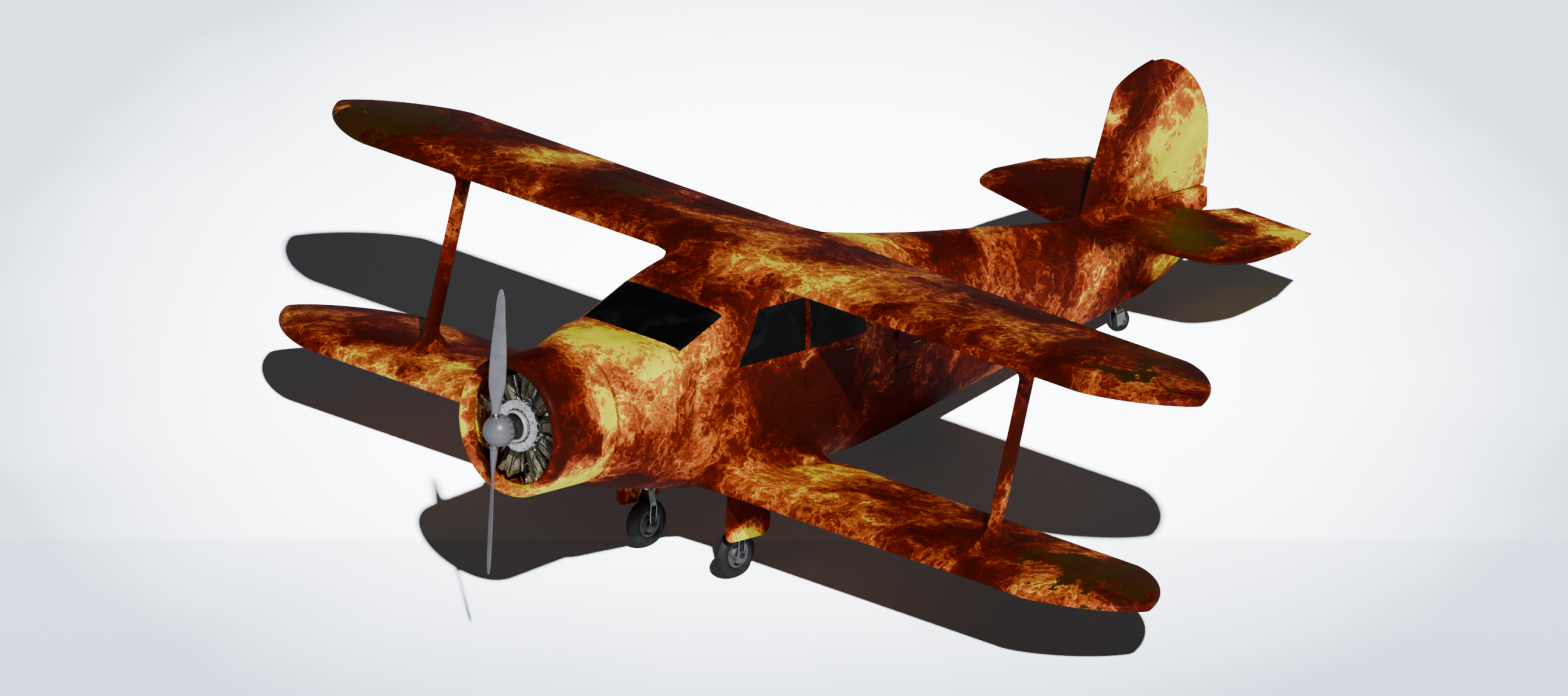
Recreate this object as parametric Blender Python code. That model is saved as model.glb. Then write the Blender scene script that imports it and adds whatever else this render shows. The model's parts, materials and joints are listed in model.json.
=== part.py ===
"""A cabin biplane with a radial engine, standing on its three wheels.

Shapes are drawn level: x to the left wing, y aft from the tip of the propeller dome and z up from the
thrust line, all in metres. One empty then pitches the airframe so that its wheels stand on z = 0.
"""

import collections
import math

import bmesh
import bpy
from mathutils import Matrix, Vector

# Gaps
SEAT_GAP = 0.0003
CURVED_SEAT_GAP = 0.0009
MOVING_GAP = 0.005

# Wings
SEMI_SPAN = 4.875
UPPER_FRONT = 2.57
UPPER_CHORD = 1.266
UPPER_HEIGHT = 0.897
LOWER_FRONT = 2.045
LOWER_CHORD = 1.335
LOWER_HEIGHT = -0.733
WING_THICKNESS_RATIO = 0.115
WING_CAMBER_SHARE = 0.6
WING_EDGE_THICKNESS = 0.010
TIP_LENGTH = 0.85
TIP_WALL = 0.06
TIP_CENTRE_SHARE = 0.46
WING_ROOT_X = 0.70
UPPER_FILLET = 0.10
LOWER_FILLET = 0.13
LOWER_FILLET_REACH = 0.30

# Ailerons on the upper wing and flaps on the lower one
SURFACE_INNER_X = 0.745
SURFACE_OUTER_X = 3.46
AILERON_CHORD = 0.318
FLAP_CHORD = 0.300
HINGE_PIN_RADIUS = 0.008

# Interplane struts
STRUT_X = 3.19
STRUT_CHORD = 0.17
STRUT_THICKNESS = 0.055
STRUT_FOOT_CHORD = 0.60
STRUT_HEAD_CHORD = 0.50
STRUT_FLARE = 0.17
STRUT_FOOT_Y = 2.56
STRUT_HEAD_Y = 2.92

# Fuselage
FIREWALL_Y = 0.93
TAIL_END_Y = 8.10
WALL = 0.03
CABIN_FRONT_Y = 1.40
CABIN_REAR_Y = 4.56
FLOOR_HEIGHT = -0.42
CABIN_ROOF = 0.84
FAIRING_TOP = 0.50
FAIRING_BOTTOM = 0.33
FAIRING_HALF_WIDTH = 0.055

# Windows and doors, as (y, z) corners
GLASS_THICKNESS = 0.006
GLASS_RECESS = 0.003
WINDSCREEN_BASE_Y = 1.57
WINDSCREEN_BASE_HEIGHT = 0.55
WINDSCREEN_TOP_Y = 2.06
WINDSCREEN_TOP_HEIGHT = 0.77
WINDSCREEN_HALF_WIDTH = 0.555
WINDSCREEN_FRAME = 0.012
WINDOW_SILL = 0.285
WINDOW_HEAD = 0.725
WINDOW_FRONT_Y = 2.20
WINDOW_RAKE = 0.23
WINDOW_REAR_Y = 3.74
WINDOW_REAR_RAKE = 0.14
DOOR_FRONT_Y = 2.99
DOOR_BOTTOM_REAR_Y = 3.46
DOOR_BOTTOM = -0.18
DOOR_FRAME = 0.022
BAGGAGE_FRONT_Y = 4.11
BAGGAGE_REAR_Y = 4.48
BAGGAGE_BOTTOM = -0.14
BAGGAGE_TOP = 0.23
KNUCKLE_RADIUS = 0.010
KNUCKLE_LENGTH = 0.035

# Cowl, engine and propeller
COWL_RADIUS = 0.575
COWL_MOUTH_RADIUS = 0.475
COWL_FRONT_Y = 0.22
COWL_REAR_Y = 0.90
COWL_WALL = 0.020
CYLINDERS = 9
COWL_SIDES = 4 * CYLINDERS
CYLINDER_Y = 0.47
CYLINDER_RADIUS = 0.060
CYLINDER_NECK_RADIUS = 0.053
FIN_HEIGHT = 0.016
BARREL_FINS = 2
BARREL_BASE = 0.165
BARREL_FINS_START = 0.240
BARREL_TOP = 0.385
CRANKCASE_RADIUS = 0.215
CRANKCASE_FRONT_Y = 0.33
HEAD_RADIUS = 0.455
PUSHROD_RADIUS = 0.006
POST_HALF_WIDTH = 0.015
ENGINE_REAR_RADIUS = 0.28
DOME_RADIUS = 0.132
HUB_LENGTH = 0.10
SHAFT_RADIUS = 0.035
SHAFT_COLLAR_RADIUS = 0.055
BLADE_LENGTH = 1.20
BLADE_WIDTH = 0.14
BLADE_ROOT_RADIUS = 0.033
BLADE_THICKNESS = 0.030
BLADE_Y = 0.085
BLADE_SIDES = 14

# Main landing gear
TRACK = 1.00
WHEEL_Y = 2.39
WHEEL_HEIGHT = -1.345
WHEEL_RADIUS = 0.20
TYRE_WIDTH = 0.115
RIM_RADIUS = 0.115
AXLE_RADIUS = 0.024
WHEEL_SIDES = 30
FORK_CLEARANCE = 0.020
FORK_PLATE = 0.010
FORK_PLATE_WIDTH = 0.070
FORK_CROWN_HEIGHT = -1.06
LEG_RADIUS = 0.042
LEG_TOP_HEIGHT = -0.89
LEG_BOSS_RADIUS = 0.060
LEG_BOSS_DEPTH = 0.20
GEAR_DOOR_FRONT_Y = 2.16
GEAR_DOOR_REAR_Y = 2.66
GEAR_DOOR_BOTTOM = -1.20
GEAR_DOOR_THICKNESS = 0.012
GEAR_DOOR_X = 0.615

# Tail wheel
TAIL_WHEEL_Y = 7.229
TAIL_WHEEL_HEIGHT = -0.466
TAIL_WHEEL_RADIUS = 0.0865
TAIL_TYRE_WIDTH = 0.060
TAIL_RIM_RADIUS = 0.045
TAIL_AXLE_RADIUS = 0.010
TAIL_WHEEL_SIDES = 18
TAIL_TRAIL = 0.045
TAIL_STEM_RADIUS = 0.018

# Tail surfaces
FIN_BASE_FRONT_Y = 6.70
FIN_TOP = 1.69
RUDDER_HINGE_Y = 7.50
RUDDER_TOP = 1.67
RUDDER_CHORD = 0.634
FIN_HALF_THICKNESS = 0.060
RUDDER_NOSE_RADIUS = 0.024
STABILISER_HEIGHT = 0.42
STABILISER_ROOT_FRONT_Y = 6.63
STABILISER_SWEEP = 0.26
STABILISER_SEMI_SPAN = 1.47
STABILISER_TIP_LENGTH = 0.22
STABILISER_ROOT_X = 0.24
ELEVATOR_HINGE_Y = 7.73
ELEVATOR_CHORD = 0.35
ELEVATOR_INNER_X = 0.27
ELEVATOR_OUTER_X = STABILISER_SEMI_SPAN - 0.06
ELEVATOR_CUT = 0.15
STABILISER_HALF_THICKNESS = 0.038
ELEVATOR_NOSE_RADIUS = 0.022
TAIL_EDGE_THICKNESS = 0.008

# Cabin furniture
PANEL_Y = 1.66
PANEL_THICKNESS = 0.03
PANEL_BOTTOM = 0.12
SEAT_WIDTH = 0.46
SEAT_X = 0.27
SEAT_DEPTH = 0.46
SEAT_CUSHION = 0.13
SEAT_HEIGHT = 0.32
SEAT_BACK = 0.60
FRONT_SEAT_Y = 2.42
REAR_SEAT_Y = 3.42
REAR_SEAT_WIDTH = 0.90

Wing = collections.namedtuple("Wing", "name front chord height surface_chord fillet reach")
UPPER = Wing("upper", UPPER_FRONT, UPPER_CHORD, UPPER_HEIGHT, AILERON_CHORD, UPPER_FILLET, UPPER_FILLET)
LOWER = Wing(
    "lower", LOWER_FRONT, LOWER_CHORD, LOWER_HEIGHT, FLAP_CHORD, LOWER_FILLET, LOWER_FILLET_REACH
)
SIDES = {"left": 1, "right": -1}

# Fuselage stations: y, top, bottom, half width, height of the widest line, roundness above and below
# it. Roundness 2 is an ellipse, and a higher one is squarer.
Station = collections.namedtuple("Station", "y top bottom width middle upper lower")
STATIONS = [
    Station(FIREWALL_Y, 0.570, -0.565, 0.585, 0.00, 2.0, 2.0),
    Station(FIREWALL_Y + 0.04, 0.595, -0.595, 0.620, 0.00, 2.1, 2.0),
    Station(1.15, 0.600, -0.655, 0.625, 0.00, 2.7, 2.0),
    Station(1.35, 0.585, -0.700, 0.625, 0.00, 4.5, 2.1),
    Station(WINDSCREEN_BASE_Y, WINDSCREEN_BASE_HEIGHT, -0.745, 0.625, -0.02, 8.0, 2.2),
    Station(WINDSCREEN_TOP_Y, WINDSCREEN_TOP_HEIGHT, -0.835, 0.630, -0.04, 8.0, 2.3),
    Station(2.45, 0.915, -0.870, 0.635, -0.05, 6.0, 2.3),
    Station(2.90, 0.990, -0.895, 0.635, -0.05, 5.0, 2.3),
    Station(3.40, 0.975, -0.905, 0.620, -0.04, 4.0, 2.3),
    Station(3.84, 0.905, -0.900, 0.575, -0.02, 3.2, 2.2),
    Station(4.40, 0.800, -0.830, 0.505, 0.00, 2.7, 2.2),
    Station(5.00, 0.705, -0.725, 0.430, 0.02, 2.4, 2.1),
    Station(5.65, 0.620, -0.610, 0.350, 0.05, 2.2, 2.1),
    Station(6.47, 0.520, -0.460, 0.235, 0.10, 2.1, 2.0),
    Station(7.00, 0.480, -0.365, 0.160, 0.14, 2.0, 2.0),
    Station(7.45, 0.470, -0.275, 0.100, 0.18, 2.0, 2.0),
    Station(7.85, 0.460, -0.080, 0.065, 0.28, 2.0, 2.0),
    Station(8.02, 0.450, 0.150, 0.050, 0.35, 2.0, 2.0),
    Station(TAIL_END_Y, 0.440, FAIRING_BOTTOM, 0.035, 0.38, 2.0, 2.0),
]
CREASES = (WINDSCREEN_BASE_Y, WINDSCREEN_TOP_Y, 7.45)
RING_POINTS = 32
RING_SPACING = 0.40

MATERIALS = {
    "paint": ((0.35, 0.05, 0.02), 0.35, 0.0),
    "glass": ((0.01, 0.01, 0.01), 0.05, 0.0),
    "steel": ((0.55, 0.56, 0.58), 0.30, 0.9),
    "propeller": ((0.22, 0.21, 0.26), 0.35, 0.3),
    "engine": ((0.35, 0.30, 0.20), 0.40, 0.6),
    "rubber": ((0.02, 0.02, 0.02), 0.70, 0.0),
    "hub": ((0.08, 0.08, 0.09), 0.45, 0.4),
    "leather": ((0.10, 0.05, 0.03), 0.60, 0.0),
    "panel": ((0.03, 0.03, 0.03), 0.55, 0.0),
}


def clear_scene():
    for item in list(bpy.data.objects):
        bpy.data.objects.remove(item, do_unlink=True)


def material(name):
    """A Principled material of the given entry in MATERIALS."""
    found = bpy.data.materials.get(name)
    if found:
        return found
    colour, roughness, metallic = MATERIALS[name]
    made = bpy.data.materials.new(name)
    made.use_nodes = True
    shader = made.node_tree.nodes["Principled BSDF"]
    shader.inputs["Base Color"].default_value = (*colour, 1.0)
    shader.inputs["Roughness"].default_value = roughness
    shader.inputs["Metallic"].default_value = metallic
    return made


def add_object(name, bm, finish, parent, origin=(0.0, 0.0, 0.0)):
    """Turns a bmesh drawn in level coordinates into an object whose own origin is at the given point."""
    bmesh.ops.remove_doubles(bm, verts=bm.verts, dist=0.00001)
    bmesh.ops.recalc_face_normals(bm, faces=bm.faces)
    bmesh.ops.translate(bm, verts=bm.verts, vec=-Vector(origin))
    mesh = bpy.data.meshes.new(name)
    bm.to_mesh(mesh)
    bm.free()
    mesh.materials.append(material(finish))
    mesh.shade_smooth()
    mesh.set_sharp_from_angle(angle=math.radians(32))
    made = bpy.data.objects.new(name, mesh)
    made.location = origin
    made.parent = parent
    bpy.context.scene.collection.objects.link(made)
    return made


def add_helper(name, bm, parent):
    """A cutter, or a shape to be joined to another one."""
    made = add_object(name, bm, "panel", parent)
    made.hide_render = True
    made.display_type = "WIRE"
    return made


def combine(target, helper, operation):
    made = target.modifiers.new(helper.name, "BOOLEAN")
    made.operation = operation
    made.solver = "EXACT"
    made.object = helper
    return made


def loft(rings, bm=None):
    """Joins rings of points, each a closed outline with as many points as the first, and caps both ends."""
    bm = bm or bmesh.new()
    rows = [[bm.verts.new(point) for point in ring] for ring in rings]
    count = len(rows[0])
    for low, high in zip(rows, rows[1:]):
        for i in range(count):
            j = (i + 1) % count
            bm.faces.new((low[i], low[j], high[j], high[i]))
    bm.faces.new(rows[0])
    bm.faces.new(rows[-1])
    return bm


def strip_cap_loft(rings):
    """Like loft, for rings that are mirror images about their middle, with caps made of strips across."""
    bm = bmesh.new()
    rows = [[bm.verts.new(point) for point in ring] for ring in rings]
    count = len(rows[0])
    for low, high in zip(rows, rows[1:]):
        for i in range(count):
            j = (i + 1) % count
            bm.faces.new((low[i], low[j], high[j], high[i]))
    for row in (rows[0], rows[-1]):
        for i in range(count // 2):
            j = count - 1 - i
            corners = [row[i], row[i + 1], row[j - 1], row[j]]
            kept = list(dict.fromkeys(corners))
            if i + 1 < j and len(kept) > 2:
                bm.faces.new(kept)
    return bm


def turned(profile, centre, axis, steps, bm=None):
    """Spins an outline of (radius, distance along the axis) points a full turn about the axis."""
    bm = bm or bmesh.new()
    axis = Vector(axis).normalized()
    side = axis.orthogonal().normalized() if abs(axis.z) > 0.5 else axis.cross(Vector((0, 0, 1)))
    start = [Vector(centre) + axis * along + side * radius for radius, along in profile]
    verts = [bm.verts.new(point) for point in start]
    edges = [bm.edges.new((a, b)) for a, b in zip(verts, verts[1:])]
    if min(profile[0][0], profile[-1][0]) > 0:
        edges.append(bm.edges.new((verts[-1], verts[0])))
    bmesh.ops.spin(
        bm, geom=verts + edges, cent=centre, axis=axis, dvec=(0, 0, 0), angle=math.tau, steps=steps,
        use_merge=True,
    )
    return bm


def rod(start, end, radius, steps, bm=None):
    """A plain cylinder between two points."""
    start, end = Vector(start), Vector(end)
    length = (end - start).length
    return turned([(0, 0), (radius, 0), (radius, length), (0, length)], start, end - start, steps, bm)


def box(low, high, bm=None):
    bm = bm or bmesh.new()
    made = bmesh.ops.create_cube(bm, size=1.0)["verts"]
    low, high = Vector(low), Vector(high)
    for vert in made:
        vert.co = Vector((low[i] + (vert.co[i] + 0.5) * (high[i] - low[i]) for i in range(3)))
    return bm


def prism(outline, low_x, high_x, bm=None):
    """Extrudes an outline of (y, z) points along x."""
    return loft([[(x, y, z) for y, z in outline] for x in (low_x, high_x)], bm)


def arc(centre, radius, start, end, steps):
    """Points on an arc in a plane, with angles in degrees."""
    angles = [math.radians(start + (end - start) * i / steps) for i in range(steps + 1)]
    return [(centre[0] + radius * math.cos(a), centre[1] + radius * math.sin(a)) for a in angles]


def mix(a, b, share):
    return a + (b - a) * share


def smooth_share(value, low, high):
    """Runs from 0 to 1 between two values, level at both ends."""
    share = min(max((value - low) / (high - low), 0.0), 1.0)
    return share * share * (3 - 2 * share)


def station_slope(index, field):
    """The slope of one field of STATIONS at a station, without overshoot."""
    here = STATIONS[index]
    slopes = []
    for low, high in ((index - 1, index), (index, index + 1)):
        if low >= 0 and high < len(STATIONS):
            a, b = STATIONS[low], STATIONS[high]
            slopes.append((getattr(b, field) - getattr(a, field)) / (b.y - a.y))
    if len(slopes) == 1:
        return slopes[0], slopes[0]
    if here.y in CREASES:
        return slopes[0], slopes[1]
    if slopes[0] * slopes[1] <= 0:
        return 0.0, 0.0
    even = 2 * slopes[0] * slopes[1] / (slopes[0] + slopes[1])
    return even, even


def fuselage_value(y, field):
    """One size of the fuselage at y, on a smooth curve through the stations."""
    index = 0
    while index < len(STATIONS) - 2 and y > STATIONS[index + 1].y:
        index += 1
    a, b = STATIONS[index], STATIONS[index + 1]
    length = b.y - a.y
    t = min(max((y - a.y) / length, 0.0), 1.0)
    start = station_slope(index, field)[1] * length
    end = station_slope(index + 1, field)[0] * length
    p, q = getattr(a, field), getattr(b, field)
    return (
        (2 * t**3 - 3 * t**2 + 1) * p + (t**3 - 2 * t**2 + t) * start
        + (3 * t**2 - 2 * t**3) * q + (t**3 - t**2) * end
    )


def fuselage_ring(y, inset=0.0, floor=None, roof=None):
    """The section of the fuselage at y, drawn inwards by inset: a superellipse above and one below."""
    top, bottom, width, middle, upper, lower = (
        fuselage_value(y, field) for field in Station._fields[1:]
    )
    ring = []
    for i in range(RING_POINTS):
        angle = math.tau * (i + 0.5) / RING_POINTS
        cosine, sine = math.cos(angle), math.sin(angle)
        power = 2 / (upper if sine > 0 else lower)
        reach = (top - middle if sine > 0 else middle - bottom) - inset
        x = (width - inset) * math.copysign(abs(cosine) ** power, cosine)
        z = middle + reach * math.copysign(abs(sine) ** power, sine)
        if floor is not None:
            z = min(max(z, floor), roof)
        ring.append((x, y, z))
    return ring


def ring_positions(start, end):
    """Every station between start and end, with rings between them no further apart than RING_SPACING."""
    marks = [start] + [s.y for s in STATIONS if start < s.y < end] + [end]
    positions = []
    for low, high in zip(marks, marks[1:]):
        parts = max(1, math.ceil((high - low) / RING_SPACING))
        positions += [mix(low, high, i / parts) for i in range(parts)]
    return positions + [end]


def fuselage_solid(start, end, inset=0.0, floor=None, roof=None):
    return loft([fuselage_ring(y, inset, floor, roof) for y in ring_positions(start, end)])


def skin_x(y, z, inset=0.0):
    """Half width of the fuselage at a height."""
    top, bottom, width, middle, upper, lower = (
        fuselage_value(y, field) for field in Station._fields[1:]
    )
    power = upper if z > middle else lower
    reach = (top - middle if z > middle else middle - bottom) - inset
    share = min(abs(z - middle) / reach, 1.0)
    return (width - inset) * (1 - share**power) ** (1 / power)


def tip_share(x):
    return min(max((x - (SEMI_SPAN - TIP_LENGTH)) / TIP_LENGTH, 0.0), 1.0)


def wing_limits(wing, x):
    """Front and rear edge of a wing at a span station, rounded at the tip by a superellipse."""
    inward = (1 - tip_share(x) ** 1.5) ** (1 / 1.5)
    centre = wing.front + TIP_CENTRE_SHARE * wing.chord
    front = centre - (centre - wing.front) * inward
    rear = centre + (wing.front + wing.chord - centre) * inward
    return front, rear


def airfoil_half(share):
    """Half thickness of a wing section of unit thickness, at a share of its chord."""
    c = min(max(share, 0.0), 1.0)
    return 5 * (0.2969 * math.sqrt(c) - 0.1260 * c - 0.3516 * c**2 + 0.2843 * c**3 - 0.1036 * c**4)


def wing_skin(wing, x, y, side):
    """Height of the upper (side 1) or lower (side -1) skin of a wing."""
    front, rear = wing_limits(wing, x)
    c = (y - front) / (rear - front)
    body = airfoil_half(c) * WING_THICKNESS_RATIO * wing.chord
    blunt = TIP_WALL / 2 * math.sqrt(max(1 - abs(2 * c - 1) ** 6, 0.0))
    weight = tip_share(x) ** 2
    rise = side + WING_CAMBER_SHARE * (1 - weight)
    return wing.height + rise * mix(body, blunt, weight) + side * c * WING_EDGE_THICKNESS / 2


def wing_ring(wing, x, grow=0.0, points=12):
    """A section of a wing, from the rear edge over the top to the front and back below."""
    front, rear = wing_limits(wing, x)
    shares = [0.5 * (1 - math.cos(math.pi * i / points)) for i in range(points + 1)]
    upper = [mix(front, rear, c) for c in reversed(shares)]
    lower = [mix(front, rear, c) for c in shares[1:]]
    span = rear - front
    ring = []
    for ys, side in ((upper, 1), (lower, -1)):
        for y in ys:
            share = (y - front) / span
            z = wing_skin(wing, x, y, side) + side * grow * min(1.0, 4 * math.sqrt(max(share, 0)))
            ring.append((x, y + grow * (2 * share - 1), z))
    return ring


def hinge_of(wing):
    """y and z of the hinge of a wing's control surface, and its nose radius."""
    y = wing.front + wing.chord - wing.surface_chord
    high, low = wing_skin(wing, 0, y, 1), wing_skin(wing, 0, y, -1)
    return y, (high + low) / 2, (high - low) / 2


def cove(hinge_y, hinge_z, radius, reach):
    """Outline that clears a control surface: a round cove in front of the hinge and all that lies behind."""
    front = arc((hinge_y, hinge_z), radius, 270, 90, 10)
    return [(hinge_y + reach, hinge_z + reach), (hinge_y + reach, hinge_z - reach),
            (hinge_y, hinge_z - reach)] + front + [(hinge_y, hinge_z + reach)]


def surface_ring(wing, x):
    """A section of an aileron or a flap: the wing's own skins behind the hinge, and a round nose."""
    y, z, radius = hinge_of(wing)
    rear = wing.front + wing.chord
    steps = 4
    upper = [mix(rear, y, i / steps) for i in range(steps)]
    points = [(v, wing_skin(wing, x, v, 1)) for v in upper]
    points += arc((y, z), radius, 90, 270, 8)
    points += [(v, wing_skin(wing, x, v, -1)) for v in reversed(upper)]
    return [(x, v, w) for v, w in points]


def add_wing(wing, side, parent):
    """One wing panel, with the bay for its control surface cut out and hinge pins in the bay's ends."""
    sign = SIDES[side]
    name = f"{wing.name}_wing_{side}"
    tip_start = SEMI_SPAN - TIP_LENGTH
    tip = [tip_start + TIP_LENGTH * share for share in (0.0, 0.2, 0.4, 0.58, 0.74, 0.87, 0.95, 0.99)]
    stations = [WING_ROOT_X + SEAT_GAP, mix(WING_ROOT_X, tip_start, 0.5)] + tip
    rings = [[(sign * x, y, z) for x, y, z in wing_ring(wing, x)] for x in stations]
    panel = add_object(name, loft(rings), "paint", parent)
    y, z, radius = hinge_of(wing)
    inner = sign * (SURFACE_INNER_X - MOVING_GAP)
    outer = sign * (SURFACE_OUTER_X + MOVING_GAP)
    bay = prism(cove(y, z, radius + MOVING_GAP, wing.chord), inner, outer)
    combine(panel, add_helper(f"{name}_bay", bay, parent), "DIFFERENCE")
    for end, x, inward in (("inner", inner, sign), ("outer", outer, -sign)):
        buried = 3 * HINGE_PIN_RADIUS
        tip_x = x + inward * (MOVING_GAP - SEAT_GAP)
        pin = rod((x - inward * buried, y, z), (tip_x, y, z), HINGE_PIN_RADIUS, 10)
        combine(panel, add_helper(f"{name}_{end}_pin", pin, parent), "UNION")


def add_surface(wing, name, side, parent):
    """An aileron or a flap, with its own origin on its hinge."""
    sign = SIDES[side]
    y, z, _ = hinge_of(wing)
    rings = [
        [(sign * x, v, w) for _, v, w in surface_ring(wing, x)] for x in (SURFACE_INNER_X, SURFACE_OUTER_X)
    ]
    middle = sign * (SURFACE_INNER_X + SURFACE_OUTER_X) / 2
    add_object(f"{name}_{side}", loft(rings), "paint", parent, (middle, y, z))


def wing_stub(wing):
    """The wing's centre section through the fuselage, growing into a fillet towards the body."""
    shares = (0.0, 0.25, 0.5, 0.7, 0.85, 0.95, 1.0)
    half = [(WING_ROOT_X - wing.reach * s, wing.fillet * (1 - math.sqrt(1 - s * s))) for s in shares]
    rings = [[(-x, y, z) for x, y, z in wing_ring(wing, x, grow)] for x, grow in half]
    rings += [wing_ring(wing, x, grow) for x, grow in reversed(half)]
    return loft(rings)


def strut_ring(share):
    """A section of an interplane strut: a slim ellipse that widens and leans towards each wing."""
    foot_z = wing_skin(LOWER, STRUT_X, STRUT_FOOT_Y, 1)
    head_z = wing_skin(UPPER, STRUT_X, STRUT_HEAD_Y, -1)
    z = mix(foot_z, head_z, share)
    foot = max(0.0, 1 - (z - foot_z) / STRUT_FLARE)
    head = max(0.0, 1 - (head_z - z) / STRUT_FLARE)
    chord = STRUT_CHORD + (STRUT_FOOT_CHORD - STRUT_CHORD) * foot**2.2
    chord += (STRUT_HEAD_CHORD - STRUT_CHORD) * head**2.2
    thickness = STRUT_THICKNESS * (1 + 1.1 * max(foot, head) ** 2)
    centre = mix(STRUT_FOOT_Y, STRUT_HEAD_Y, share)
    ring = []
    count = 20
    for i in range(count):
        angle = math.tau * (i + 0.5) / count
        x = STRUT_X + thickness / 2 * math.sin(angle)
        y = centre - chord / 2 * math.cos(angle)
        height = z
        if share == 0:
            height = wing_skin(LOWER, x, y, 1) + CURVED_SEAT_GAP
        if share == 1:
            height = wing_skin(UPPER, x, y, -1) - CURVED_SEAT_GAP
        ring.append((x, y, height))
    return ring


def add_strut(side, parent):
    sign = SIDES[side]
    shares = (0.0, 0.025, 0.05, 0.08, 0.12, 0.5, 0.88, 0.92, 0.95, 0.975, 1.0)
    rings = [[(sign * x, y, z) for x, y, z in strut_ring(share)] for share in shares]
    add_object(f"strut_{side}", strip_cap_loft(rings), "paint", parent)


def tail_half(share, fullest, rear):
    """Half thickness of a tail surface at a share of its chord: a round front, then an even taper."""
    peak = 0.35
    if share < peak:
        return fullest * math.sqrt(max(1 - (1 - share / peak) ** 2, 0.0))
    return mix(fullest, rear, smooth_share(share, peak, 1.25))


def fin_front(z):
    """Front edge of the fin at a height: nearly straight, then rounded over to the top."""
    share = (z - FAIRING_TOP) / (FIN_TOP - FAIRING_TOP)
    straight = FIN_BASE_FRONT_Y + 0.38 * share
    round_over = 0.42 * max(0.0, (share - 0.80) / 0.20) ** 2.4
    return straight + round_over


def rudder_rear(z):
    """Rear edge of the rudder at a height: an upright edge, then a rounded top."""
    share = max(0.0, (z - 0.92) / (RUDDER_TOP + 0.01 - 0.92))
    return RUDDER_HINGE_Y + RUDDER_CHORD * (1 - share**2.2) ** 0.62 - 0.03 * max(0.0, (0.92 - z) / 0.4) ** 2


def add_fin(parent):
    """The fin, hollowed along the rudder's hinge."""
    heights = [FAIRING_TOP + SEAT_GAP]
    heights += [mix(FAIRING_TOP, FIN_TOP, s) for s in (0.3, 0.6, 0.8, 0.88, 0.93, 0.97, 0.99)]
    count = 9
    rings = []
    for z in heights:
        front = fin_front(z)
        size = mix(1.0, 0.55, (z - FAIRING_TOP) / (FIN_TOP - FAIRING_TOP))
        size *= math.sqrt(max(1 - max(0.0, (z - FIN_TOP + 0.07) / 0.075) ** 2, 0.05))
        ring = []
        for i in range(count + 1):
            share = (i / count) ** 1.6
            y = mix(front, RUDDER_HINGE_Y, share)
            half = tail_half(share, FIN_HALF_THICKNESS * size, RUDDER_NOSE_RADIUS * min(size * 1.4, 1.0))
            ring.append((half, y, z))
        mirrored = [(-x, y, w) for x, y, w in reversed(ring[1:])]
        rings.append(ring + mirrored)
    fin = add_object("fin", loft(rings), "paint", parent)
    radius = RUDDER_NOSE_RADIUS + MOVING_GAP
    outline = arc((0, RUDDER_HINGE_Y), radius, 180, 360, 12)
    outline += [(radius * 3, RUDDER_HINGE_Y), (radius * 3, RUDDER_HINGE_Y + 0.2)]
    outline += [(-radius * 3, RUDDER_HINGE_Y + 0.2), (-radius * 3, RUDDER_HINGE_Y)]
    low, high = FAIRING_TOP - 0.1, FIN_TOP + 0.1
    cutter = loft([[(x, y, z) for x, y in outline] for z in (low, high)])
    combine(fin, add_helper("fin_cove", cutter, parent), "DIFFERENCE")


def add_rudder(parent):
    bottom = FAIRING_TOP + 0.015
    heights = [bottom, 0.72, 0.92, 1.10, 1.25, 1.38, 1.48, 1.56, 1.62, 1.655, RUDDER_TOP]
    rings = []
    for z in heights:
        nose = RUDDER_NOSE_RADIUS * math.sqrt(max(1 - max(0.0, (z - RUDDER_TOP + 0.10) / 0.11) ** 2, 0.1))
        rear = rudder_rear(z)
        edge = TAIL_EDGE_THICKNESS / 2
        side = [(edge, rear), (mix(nose, edge, 0.45), mix(RUDDER_HINGE_Y, rear, 0.5))]
        round_nose = arc((0, RUDDER_HINGE_Y), nose, 0, -180, 8)
        other = [(-x, y) for x, y in reversed(side)]
        rings.append([(x, y, z) for x, y in side + round_nose + other])
    add_object("rudder", loft(rings), "paint", parent, (0, RUDDER_HINGE_Y, bottom))


def stabiliser_front(x):
    """Front edge of the stabiliser: swept, then rounded into the tip."""
    along = (abs(x) - STABILISER_ROOT_X) / (STABILISER_SEMI_SPAN - STABILISER_ROOT_X)
    rounding = max(0.0, (along - 0.78) / 0.22)
    return STABILISER_ROOT_FRONT_Y + STABILISER_SWEEP * along + 0.32 * (1 - math.sqrt(1 - rounding**2))


def stabiliser_rear(x):
    """Rear edge of the stabiliser: the elevator's hinge, drawn in a little at the tip."""
    along = max(0.0, (abs(x) - ELEVATOR_OUTER_X) / (STABILISER_SEMI_SPAN - ELEVATOR_OUTER_X))
    return ELEVATOR_HINGE_Y - 0.40 * along


def stabiliser_ring(x, reach=0.0, size=1.0):
    front, rear = stabiliser_front(x), stabiliser_rear(x) - reach
    count = 9
    half_ring = []
    for i in range(count + 1):
        share = (i / count) ** 1.6
        y = mix(front, rear, share)
        nose = ELEVATOR_NOSE_RADIUS * min(size * 1.2, 1.0)
        half = tail_half(share, STABILISER_HALF_THICKNESS * size, nose)
        half_ring.append((x, y, half))
    upper = [(x, y, STABILISER_HEIGHT + h) for x, y, h in half_ring]
    lower = [(x, y, STABILISER_HEIGHT - h) for x, y, h in reversed(half_ring[1:])]
    return upper + lower


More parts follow.
